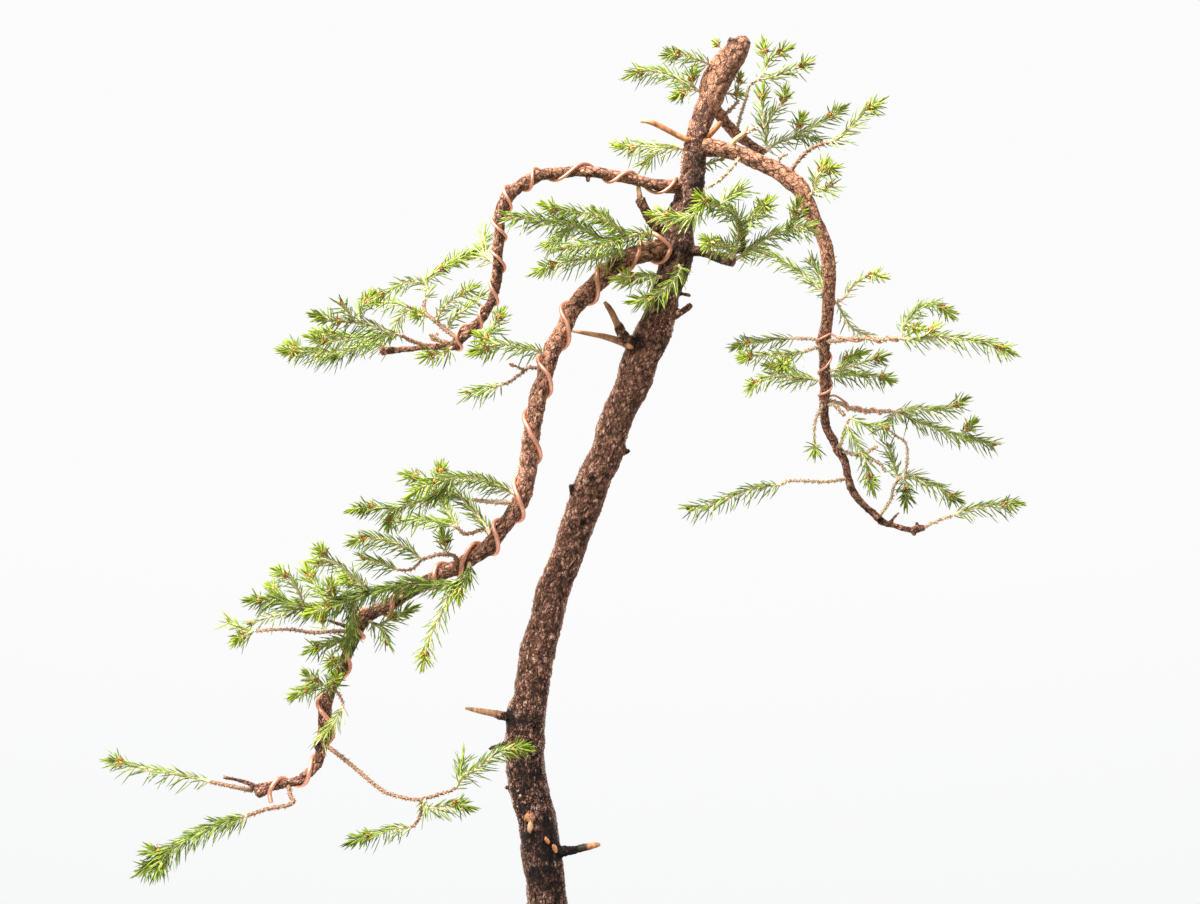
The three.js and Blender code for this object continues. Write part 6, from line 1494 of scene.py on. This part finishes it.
def seat_in_bark(points, wood):
    """Moves the start of a spray's first stem to just under the bark it grows from."""
    spots, sizes = wood
    nearest = np.argmin(np.linalg.norm(spots - points[0], axis=1) - sizes)
    way = unit(points[1] - spots[nearest])
    return np.vstack([spots[nearest] + way * max(sizes[nearest] - 1.6, 0.2), points[1:]])


def join_to_stems(points, stems):
    """Moves the start of a side shoot onto the nearest stem grown so far."""
    samples = np.vstack(stems)
    nearest = samples[np.argmin(np.linalg.norm(samples - points[0], axis=1))]
    return np.vstack([nearest, points[1:]])


def needle_habit(share, hanging, fresh, settings):
    """How far needles lean out from their stem, and their lengths, along one year's growth."""
    if fresh:
        lean = np.interp(share, [0, 0.4, 0.8, 1], [84, 62, 36, 8])
        lengths = settings.fresh_length / MM * np.interp(share, [0, 0.3, 1], [0.85, 1, 0.92])
    else:
        lean = 44 + 17 * hanging
        lengths = settings.old_length / MM * np.interp(share, [0, 0.2], [0.8, 1])
        lengths = lengths * (1 + 0.1 * hanging)
    return np.radians(lean), lengths


def add_needles(mould, pattern, line, spots, fresh, size, settings, rng, wood, tone, warm):
    """A brush of needles at the given distances along a stem."""
    count = len(spots)
    if count == 0:
        return
    reach = reach_along(line)
    spots = np.clip(spots + rng.uniform(-0.3, 0.3, count), 0, reach[-1])
    feet = points_at(spots, reach, line)
    turns = np.arange(count) * GOLDEN + rng.uniform(-0.35, 0.35, count)
    _, along, out = spiral_round(line, spots, turns)
    share = (spots - spots[0]) / max(spots[-1] - spots[0], 1.0)
    lean, lengths = needle_habit(share, -out[:, 2], fresh, settings)
    lean = lean + rng.normal(0, 0.15, count)
    lengths = lengths * size * rng.uniform(0.7, 1.12, count)
    ways = along * np.cos(lean)[:, None] + out * np.sin(lean)[:, None]
    ways = unit(ways + rng.normal(0, 0.05, (count, 3)))
    bends = (along * 0.16 - out * 0.06) * rng.uniform(0.1, 1.5, (count, 1))
    bends[:, 2] -= rng.uniform(-0.02, 0.1, count)
    tips = feet + (ways + bends) * lengths[:, None]
    middles = feet + ways * lengths[:, None] * 0.5
    kept = clear_of_wood(tips, wood, 0.6) & clear_of_wood(middles, wood, 0.3)
    count = int(kept.sum())
    if count == 0:
        return
    widths = settings.width / MM * rng.uniform(0.85, 1.15, count) * (1.15 if fresh else 0.95)
    vertices, faces, height = lay_spikes(
        pattern, feet[kept], ways[kept], bends[kept], lengths[kept], widths, widths * 0.72)
    shades = np.clip(rng.normal(tone, 0.2, count), 0, 1)
    young = share[kept] * 0.3 + 0.7 if fresh else rng.normal(0.06, 0.08, count)
    points = len(pattern[0])
    mould.add(vertices, faces, NEEDLE_SLOT, fresh=np.repeat(np.clip(young, 0, 1), points),
              shade=np.repeat(shades, points), along=height, warm=warm)


def add_bud_scales(mould, pattern, spot, way, size, rng, opened):
    """Papery scales in three rings: a cup where a shoot began, or a closed bud at a tip."""
    helper = np.array([0.0, 0.0, 1.0]) if abs(way[2]) < 0.9 else np.array([1.0, 0.0, 0.0])
    side = unit(np.cross(helper, way))
    across = np.cross(way, side)
    turns = np.arange(BUD_SCALES) * GOLDEN + rng.uniform(-0.2, 0.2, BUD_SCALES)
    share = np.arange(BUD_SCALES) / BUD_SCALES
    out = around(side, across, turns)
    width = size * (0.3 + 0.2 * np.sin(share * math.pi))
    if opened:
        feet = spot + way * (share * size * 0.6 - size * 0.5)[:, None] + out * width[:, None]
        ways = unit(out * 0.55 + way)
        bends = out * 0.18
    else:
        narrowed = width * (1 - share * 0.8)
        feet = spot + way * (share * size * 0.75)[:, None] + out * narrowed[:, None]
        ways = unit(out * (0.35 - 0.3 * share)[:, None] + way)
        bends = -out * 0.3
    lengths = size * rng.uniform(0.5, 0.75, BUD_SCALES)
    widths = np.full(BUD_SCALES, size * 0.62)
    vertices, faces, _ = lay_spikes(pattern, feet, ways, bends, lengths, widths, widths * 0.45)
    shades = np.repeat(rng.uniform(0, 1, BUD_SCALES), len(pattern[0]))
    mould.add(vertices, faces, BUD_SLOT, shade=shades)


def look_of(name, shoot):
    usual = USUAL_LOOK_RIGHT if "right" in name else USUAL_LOOK
    return SHOOT_LOOKS.get(name, {}).get(shoot, SPRAY_LOOKS.get(name, usual))


def trim_shoot(points, bare, bud, size, settings):
    """A shoot, whose stem ends where its last needles start."""
    line, stations = smooth_line(points, 1.2)
    reach = reach_along(line)
    bare_end = np.interp(bare, stations, reach)
    if bud is None:
        return Shoot(line, reach, bare_end, reach[-1], reach[-1], False)
    bud_start = np.interp(bud, stations, reach)
    rest, tuft = reach[-1] - bud_start, settings.fresh_length / MM * size * 0.85
    length = bud_start + max(rest - tuft, min(4.0 * size, rest))
    shown = reach <= length
    return Shoot(line[shown], reach[shown], bare_end, bud_start, length, True)


def add_stem(mould, peg, shoot, thickness, bare_age, rng):
    """A shoot's stem, redder where it is older, with pegs where it has lost its needles."""
    radii = np.interp(shoot.reach, [0, shoot.length], [thickness, 0.62]) * knobs(shoot.line, 0.12)
    ages = np.where(shoot.reach > shoot.bud_start, 0.95,
                    np.where(shoot.reach > shoot.bare_end, 0.7, bare_age))
    mould.add(*tube(shoot.line, radii, STEM_SIDES), STEM_SLOT,
              young=np.append(np.repeat(ages, STEM_SIDES), [0.4, 0.95]))
    if shoot.bare_end > 0:
        last = int(np.searchsorted(shoot.reach, shoot.bare_end)) - 1
        add_pegs(mould, peg, shoot.line, radii, last, STEM_SLOT, rng, bare_age + 0.24)


def dress_shoot(mould, needle, scale, shoot, first_needle, look, tone, settings, rng, wood):
    """A shoot's needles, and the scales of the bud that it grew from or ends in."""
    line, reach, bare_end, bud_start, length, grown = shoot
    size, dense, warm, _ = look
    gap = 0.6 if grown else 0
    old = np.arange(max(bare_end, first_needle), bud_start - gap, 1 / (settings.old_per_mm * dense))
    count = round(14 + (length - bud_start) * settings.fresh_per_mm)
    fresh = np.linspace(bud_start + 0.8, length, count) if grown else []
    for spots, is_fresh in ((old, False), (fresh, True)):
        add_needles(mould, needle, line, spots, is_fresh, size, settings, rng, wood, tone, warm)
    along = frames_along(line)[0]
    if not grown:
        add_bud_scales(mould, scale, line[-1], along[-1], 3.0, rng, False)
    elif bare_end < bud_start:
        start = min(int(np.searchsorted(reach, bud_start)), len(line) - 1)
        add_bud_scales(mould, scale, line[start], along[start], 4.2 * size, rng, True)


def grow_spray(name, order, settings, patterns, materials, wood):
    """One leafy spray: its stem and side shoots, their needles, bud scales and bare pegs."""
    needle, peg, scale = patterns
    mould, rng, peg_rng = Mould(), np.random.default_rng(500 + order), random.Random(order)
    thickest, bare_age = (1.15, 0.6) if "right" in name else (1.6, 0.38)
    stems = []
    for number, (bare, bud, route) in enumerate(SPRAYS[name]):
        look = look_of(name, number)
        points = placed(route)
        points = join_to_stems(points, stems) if stems else seat_in_bark(points, wood)
        shoot = trim_shoot(points, bare, bud, look[0], settings)
        thickness = min(0.85 + shoot.length * 0.007, thickest)
        if stems:
            thickness, first_needle = thickness * 0.85, 1.0
        else:
            shoot = shoot._replace(bare_end=LOST_NEEDLES.get(name, shoot.bare_end))
            first_needle = 2.5
        stems.append(shoot.line)
        add_stem(mould, peg, shoot, thickness, bare_age, peg_rng)
        tone = 0.5 + look[3] + 0.12 * math.sin(order * 2.4 + len(stems))
        dress_shoot(mould, needle, scale, shoot, first_needle, look, tone, settings, rng, wood)
    finish_piece(mould.piece(f"needles_{name}", materials), "needles", f"spray_{name}")


# Pot and soil, in millimetres: each inset is (how far in, how far down)

RIM = 9.0
OUTSIDE_INSETS = ((5, 0), (2.2, 8), (4.6, 34), (2.4, 15), (2.0, 3), (3.5, 1.5))
INSIDE_INSETS = ((14, 0), (0.4, 9), (5, 40), (4, 11))
FOOT_SIZE, FOOT_SPOT, FOOT_CORNER = (46, 34, 13), (98, 62), 5
HOLE_RADIUS, HOLE_SPOT = 9, 38
# The soil's top inside the pot: half its length and depth, the radius of its corners, and its
# height at distances in from its edge
SOIL_HALF, SOIL_CORNER = (130.7, 88.7), 31.7
MOUND = ([0, 22, 52], [73, 79, 84])
# How far out stones may lie, how far from the pot's wall they stay, and how far from the trunk
STONE_REACH, STONE_MARGIN, TRUNK_ROOM = (128, 86), 2.5, 15


def select_faces(obj, wanted):
    """Selects the faces whose normals are wanted, for the edits that follow."""
    bpy.ops.object.mode_set(mode="OBJECT")
    for face in obj.data.polygons:
        face.select = wanted(face.normal)
    for part in (*obj.data.vertices, *obj.data.edges):
        part.select = False
    bpy.ops.object.mode_set(mode="EDIT")
    bpy.ops.mesh.select_mode(type="FACE")


def start_block(size, centre):
    """A block that is left in edit mode."""
    bpy.ops.mesh.primitive_cube_add(size=1)
    obj = bpy.context.object
    bpy.ops.object.mode_set(mode="EDIT")
    bpy.ops.transform.resize(value=[length * MM for length in size])
    bpy.ops.transform.translate(value=[length * MM for length in centre])
    return obj


def cut_or_add(body, other, operation):
    apply_modifier(body, "BOOLEAN", operation=operation, object=other, solver="EXACT")
    bpy.data.objects.remove(other)


def start_rim(settings):
    """The pot's rim, a slab with round corners."""
    length, depth, height = (side / MM for side in (settings.length, settings.depth,
                                                    settings.height))
    pot = start_block((length, depth, RIM), (0, 0, height - RIM / 2))
    bpy.ops.mesh.select_mode(type="EDGE")
    bpy.ops.mesh.select_all(action="DESELECT")
    bpy.ops.object.mode_set(mode="OBJECT")
    vertices = pot.data.vertices
    for edge in pot.data.edges:
        low, high = (vertices[index].co for index in edge.vertices)
        edge.select = abs(low.z - high.z) > RIM * MM / 2
    bpy.ops.object.mode_set(mode="EDIT")
    bpy.ops.mesh.bevel(offset=settings.corner, segments=14, affect="EDGES")
    return pot


def shape_pot(settings, material):
    """The pot: its outside turned down from the rim, then hollowed, with feet and holes."""
    pot = start_rim(settings)
    select_faces(pot, lambda normal: normal.z < -0.9)
    for thickness, fall in OUTSIDE_INSETS:
        bpy.ops.mesh.inset(thickness=thickness * MM, depth=fall * MM)
    select_faces(pot, lambda normal: normal.z > 0.9)
    for thickness, fall in INSIDE_INSETS:
        bpy.ops.mesh.inset(thickness=thickness * MM, depth=-fall * MM)
    bpy.ops.object.mode_set(mode="OBJECT")
    for side_x in (-1, 1):
        for side_y in (-1, 1):
            foot = start_block(FOOT_SIZE, (side_x * FOOT_SPOT[0], side_y * FOOT_SPOT[1],
                                           FOOT_SIZE[2] / 2))
            bpy.ops.mesh.bevel(offset=FOOT_CORNER * MM, segments=4, affect="EDGES")
            bpy.ops.object.mode_set(mode="OBJECT")
            cut_or_add(pot, foot, "UNION")
    for side in (-1, 1):
        bpy.ops.mesh.primitive_cylinder_add(vertices=32, radius=HOLE_RADIUS * MM, depth=40 * MM,
                                            location=(side * HOLE_SPOT * MM, 0, 20 * MM))
        cut_or_add(pot, bpy.context.object, "DIFFERENCE")
    apply_modifier(pot, "BEVEL", width=1.1 * MM, segments=3, limit_method="ANGLE",
                   angle_limit=math.radians(34))
    pot.name = "pot_body"
    pot.data.materials.append(material)
    choose(pot)
    bpy.ops.object.shade_smooth_by_angle(angle=math.radians(35))
    finish_piece(pot, "pot", "pot")


def soil_height(x, y):
    """Height of the mound inside the pot, and how far in from the pot's wall it is."""
    over = np.abs([x, y]) - (np.array(SOIL_HALF) - SOIL_CORNER)
    inset = SOIL_CORNER - (np.hypot(*over) if over.min() > 0 else over.max())
    return np.interp(inset, *MOUND), inset


def scatter_granules(settings, material):
    """Stones of the soil's top layer, each one a rough round shape, bedded into the mound."""
    bpy.ops.mesh.primitive_ico_sphere_add(subdivisions=1, radius=1.0)
    ball, faces = pattern_of(bpy.context.object)
    rng = np.random.default_rng(77)
    mould, laid = Mould(), 0
    while laid < settings.granules:
        x, y = (rng.uniform(-side, side) for side in STONE_REACH)
        height, inset = soil_height(x, y)
        if inset < STONE_MARGIN or math.hypot(x - FOOT[0][0], y) < TRUNK_ROOM:
            continue
        size = rng.uniform(1.5, 3.1) * (1.25 if rng.random() < 0.15 else 1.0)
        stone = ball * rng.uniform(0.75, 1.25, (len(ball), 1))
        across, deep, high = (stone * size * rng.uniform(0.7, 1.15, 3)).T
        across, deep = turned(across, deep, rng.uniform(0, math.pi))
        bedded = height + size * rng.uniform(0.05, 0.5)
        mould.add(np.column_stack([across, deep, high]) + (x, y, bedded), faces,
                  kind=rng.random())
        laid += 1
    obj = mould.piece("soil_granules", [material], smooth=False)
    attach(obj, "root")


# Stage

LIGHT_TARGET = Vector((0, 0, 0.42))


def lay_floor(settings, material):
    bpy.ops.mesh.primitive_cylinder_add(
        vertices=96, radius=settings.floor_radius, depth=0.02, location=(0, 0, -0.0102))
    floor = bpy.context.object
    floor.name = "floor"
    floor.data.materials.append(material)


def hang_light(name, spot, size, power, colour):
    """A soft square light that faces the middle of the tree."""
    light = bpy.data.lights.new(name, "AREA")
    light.shape, light.size, light.energy, light.color = "SQUARE", size, power, colour
    obj = bpy.data.objects.new(name, light)
    obj.location = spot
    obj.rotation_euler = (LIGHT_TARGET - Vector(spot)).to_track_quat("-Z", "Y").to_euler()
    bpy.context.collection.objects.link(obj)


def light_room(settings):
    """A bright room, lit most from above and from behind the tree, darker in front and below."""
    scene = bpy.context.scene
    world = bpy.data.worlds.new("bright_room")
    world.use_nodes = True
    nodes, links = world.node_tree.nodes, world.node_tree.links
    where = nodes.new("ShaderNodeTexCoord")
    toward = nodes.new("ShaderNodeVectorMath")
    toward.operation = "DOT_PRODUCT"
    toward.inputs[1].default_value = (0.0, 0.6, 0.8)
    share = nodes.new("ShaderNodeMath")
    share.operation = "MULTIPLY_ADD"
    share.inputs[1].default_value = share.inputs[2].default_value = 0.5
    ramp = nodes.new("ShaderNodeValToRGB")
    set_stops(ramp, ((0.0, settings.shade_colour), (0.2, settings.front_colour),
                     (0.58, shade(settings.room_colour, 0.8)), (0.69, settings.low_colour),
                     (0.77, settings.room_colour)))
    links.new(where.outputs["Generated"], toward.inputs[0])
    links.new(toward.outputs["Value"], share.inputs[0])
    links.new(share.outputs[0], ramp.inputs[0])
    links.new(ramp.outputs[0], nodes["Background"].inputs["Color"])
    nodes["Background"].inputs["Strength"].default_value = settings.room_strength
    scene.world = world
    scene.view_settings.view_transform = "Standard"


def aim_camera(settings):
    camera = bpy.data.cameras.new("photo_camera")
    camera.lens, camera.sensor_width = settings.lens, 36
    camera.clip_start, camera.clip_end = 0.05, 20
    obj = bpy.data.objects.new("photo_camera", camera)
    obj.location = [length * MM for length in EYE]
    obj.rotation_euler = (math.pi / 2, 0, 0)
    bpy.context.collection.objects.link(obj)
    bpy.context.scene.camera = obj



# Settings

def length_setting(name, description, default, low, high):
    return FloatProperty(name=name, description=description, default=default * MM,
                         min=low * MM, max=high * MM, subtype="DISTANCE", unit="LENGTH",
                         precision=4)


def colour_setting(name, description, default):
    return FloatVectorProperty(name=name, description=description, default=default,
                               subtype="COLOR", size=3, min=0.0, max=1.0)


class WoodSettings(bpy.types.PropertyGroup):
    relief: length_setting("Bark relief", "How far the flakes of old bark stand out", 1.0, 0, 3)
    old_colour: colour_setting("Old bark", "Bark at the foot of the trunk", (0.166, 0.067, 0.042))
    old_flake: colour_setting("Old flakes", "Pale edges on old bark", (0.66, 0.49, 0.38))
    young_colour: colour_setting("Young bark", "Bark of the branches", (0.53, 0.25, 0.147))
    young_flake: colour_setting("Young flakes", "Pale edges on young bark", (0.92, 0.7, 0.5))
    foot_tint: colour_setting("Foot tint", "Darkens the bark at the foot", (0.44, 0.47, 0.5))
    stem_colour: colour_setting("Stems", "Skin of the thin stems", (0.4, 0.22, 0.135))
    deadwood_colour: colour_setting("Dead wood", "Wood of the torn stubs", (0.33, 0.21, 0.12))


class NeedleSettings(bpy.types.PropertyGroup):
    old_length: length_setting("Old length", "Length of last year's needles", 13.0, 5, 25)
    fresh_length: length_setting("Fresh length", "Length of this year's needles", 10.5, 4, 20)
    width: length_setting("Width", "Thickness of a needle", 1.12, 0.4, 2.5)
    old_per_mm: FloatProperty(name="Old needles per mm", default=1.7, min=0.2, max=4,
                              description="How close last year's needles stand")
    fresh_per_mm: FloatProperty(name="Fresh needles per mm", default=2.4, min=0.2, max=6,
                                description="How close this year's needles stand")
    old_colour: colour_setting("Old needles", "Green of last year's needles", (0.2, 0.28, 0.04))
    fresh_colour: colour_setting("Fresh needles", "Green of new needles", (0.17, 0.255, 0.012))
    warm_colour: colour_setting("Tip colour", "Yellow green of new needles", (0.34, 0.41, 0.03))
    foot_colour: colour_setting("Foot colour", "Cream of each needle's foot", (0.8, 0.76, 0.42))
    bud_colour: colour_setting("Bud scales", "Papery scales of the buds", (0.62, 0.24, 0.05))


class WireSettings(bpy.types.PropertyGroup):
    upper_radius: length_setting("Upper wire", "Radius, upper left branch", 1.18, 0.3, 4)
    lower_radius: length_setting("Lower wire", "Radius, lower left branch", 1.6, 0.3, 4)
    right_radius: length_setting("Right wire", "Radius, right branch", 0.8, 0.3, 4)
    colour: colour_setting("Copper", "Bright copper of the wire", (0.88, 0.45, 0.31))


class PotSettings(bpy.types.PropertyGroup):
    length: length_setting("Length", "Length of the pot at its rim", 290, 200, 400)
    depth: length_setting("Depth", "Depth of the pot at its rim", 206, 150, 300)
    height: length_setting("Height", "Height of the pot with its feet", 80, 60, 120)
    corner: length_setting("Corner", "Radius of the pot's corners", 46, 10, 90)
    colour: colour_setting("Clay", "Unglazed clay", (0.13, 0.062, 0.04))


class SoilSettings(bpy.types.PropertyGroup):
    granules: IntProperty(name="Stones", default=3600, min=0, max=6000,
                          description="Number of stones in the top layer")
    colour: colour_setting("Soil", "Fired clay grit", (0.19, 0.12, 0.075))


class StageSettings(bpy.types.PropertyGroup):
    floor_radius: FloatProperty(name="Floor radius", default=0.62, min=0.2, max=3,
                                subtype="DISTANCE", unit="LENGTH",
                                description="Radius of the round floor")
    floor_colour: colour_setting("Floor", "Colour of the floor", (0.6, 0.6, 0.59))
    room_colour: colour_setting("Room", "Colour of the room round the tree", (0.97, 0.97, 0.97))
    low_colour: colour_setting("Room, low", "Colour of the room's lower part", (0.93, 0.935, 0.94))
    front_colour: colour_setting("Room, front", "The room in front of it", (0.34, 0.335, 0.33))
    shade_colour: colour_setting("Room, below", "Colour below the view", (0.3, 0.29, 0.28))
    room_strength: FloatProperty(name="Room light", default=1.0, min=0, max=5,
                                 description="Brightness of the room")
    key_power: FloatProperty(name="Key light", default=150.0, min=0, max=500, subtype="POWER",
                             description="Power of the soft light above, at the left")
    lens: FloatProperty(name="Lens", default=60.0, min=10, max=300, subtype="DISTANCE_CAMERA",
                        description="Focal length of the camera")


# Operators

class StepOperator:
    """What the building steps have in common: each can be undone."""
    bl_options = {"REGISTER", "UNDO"}


class BONSAI_OT_bark(StepOperator, bpy.types.Operator):
    """Model the trunk and the three main limbs with their bark"""
    bl_idname = "bonsai.bark"
    bl_label = "Trunk and branches"

    def execute(self, context):
        settings = context.scene.bonsai_wood
        material = bark_finish(settings)
        for seed, (name, traits) in enumerate(LIMBS.items()):
            grow_bark(name, traits, settings, material, seed)
        return {"FINISHED"}


class BONSAI_OT_twigs(StepOperator, bpy.types.Operator):
    """Model the leafless twigs"""
    bl_idname = "bonsai.twigs"
    bl_label = "Bare twigs"

    def execute(self, context):
        grow_bare_twigs(twig_finish(context.scene.bonsai_wood))
        return {"FINISHED"}


class BONSAI_OT_deadwood(StepOperator, bpy.types.Operator):
    """Carve the torn stubs and the wounds of the trunk"""
    bl_idname = "bonsai.deadwood"
    bl_label = "Dead wood"

    def execute(self, context):
        carve_deadwood(deadwood_finish(context.scene.bonsai_wood))
        return {"FINISHED"}


class BONSAI_OT_wires(StepOperator, bpy.types.Operator):
    """Wind the three copper wires round their branches"""
    bl_idname = "bonsai.wires"
    bl_label = "Copper wires"

    def execute(self, context):
        settings = context.scene.bonsai_wire
        material = copper_finish(settings)
        for name, path, radius in (
            ("upper_left", upper_wire_path, settings.upper_radius / MM),
            ("lower_left", lower_wire_path, settings.lower_radius / MM),
            ("right", right_wire_path, settings.right_radius / MM),
        ):
            wire_piece(name, path(radius), radius, material)
        return {"FINISHED"}


class BONSAI_OT_sprays(StepOperator, bpy.types.Operator):
    """Grow the leafy sprays with their stems, buds and needles"""
    bl_idname = "bonsai.sprays"
    bl_label = "Leafy sprays"

    def execute(self, context):
        settings = context.scene.bonsai_needles
        materials = [needle_finish(settings), twig_finish(context.scene.bonsai_wood),
                     bud_finish(settings)]
        patterns = needle_pattern(), peg_pattern(), scale_pattern()
        wood = wood_samples()
        for order, name in enumerate(SPRAYS):
            grow_spray(name, order, settings, patterns, materials, wood)
        return {"FINISHED"}


class BONSAI_OT_pot(StepOperator, bpy.types.Operator):
    """Model the pot"""
    bl_idname = "bonsai.pot"
    bl_label = "Pot"

    def execute(self, context):
        settings = context.scene.bonsai_pot
        shape_pot(settings, clay_finish(settings))
        return {"FINISHED"}


class BONSAI_OT_soil(StepOperator, bpy.types.Operator):
    """Give the soil its finish and scatter stones over it"""
    bl_idname = "bonsai.soil"
    bl_label = "Soil"

    def execute(self, context):
        settings = context.scene.bonsai_soil
        soil = bpy.data.objects["soil"]
        soil.data.materials.clear()
        soil.data.materials.append(earth_finish(settings))
        scatter_granules(settings, granule_finish(settings))
        return {"FINISHED"}


class BONSAI_OT_stage(StepOperator, bpy.types.Operator):
    """Set up the floor, the lights, the room and the camera"""
    bl_idname = "bonsai.stage"
    bl_label = "Stage"

    def execute(self, context):
        settings = context.scene.bonsai_stage
        lay_floor(settings, floor_finish(settings))
        hang_light("key_light", (-1.1, -1.0, 2.3), 1.0, settings.key_power, (1.0, 0.985, 0.96))
        light_room(settings)
        aim_camera(settings)
        return {"FINISHED"}


STEPS = (
    BONSAI_OT_bark, BONSAI_OT_twigs, BONSAI_OT_deadwood, BONSAI_OT_wires,
    BONSAI_OT_sprays, BONSAI_OT_pot, BONSAI_OT_soil, BONSAI_OT_stage,
)
GROUPS = {
    "bonsai_wood": WoodSettings,
    "bonsai_needles": NeedleSettings,
    "bonsai_wire": WireSettings,
    "bonsai_pot": PotSettings,
    "bonsai_soil": SoilSettings,
    "bonsai_stage": StageSettings,
}


class BONSAI_PT_panel(bpy.types.Panel):
    """The building steps and their settings, in the sidebar of the 3D view"""
    bl_idname = "BONSAI_PT_panel"
    bl_label = "Spruce bonsai"
    bl_space_type = "VIEW_3D"
    bl_region_type = "UI"
    bl_category = "Bonsai"

    def draw(self, context):
        layout = self.layout
        for step in STEPS:
            layout.operator(step.bl_idname)
        for key, group in GROUPS.items():
            box = layout.box()
            for name in group.__annotations__:
                box.prop(getattr(context.scene, key), name)


def register():
    for kind in (*GROUPS.values(), *STEPS, BONSAI_PT_panel):
        bpy.utils.register_class(kind)
    for key, group in GROUPS.items():
        setattr(bpy.types.Scene, key, PointerProperty(type=group))


def unregister():
    for key in GROUPS:
        delattr(bpy.types.Scene, key)
    for kind in (BONSAI_PT_panel, *reversed(STEPS), *reversed(GROUPS.values())):
        bpy.utils.unregister_class(kind)


def main():
    register()
    bpy.ops.object.select_all(action="DESELECT")
    for step in STEPS:
        group, name = step.bl_idname.split(".")
        if getattr(getattr(bpy.ops, group), name)() != {"FINISHED"}:
            raise RuntimeError(f"{step.bl_label} did not finish")


if __name__ == "__main__":
    main()
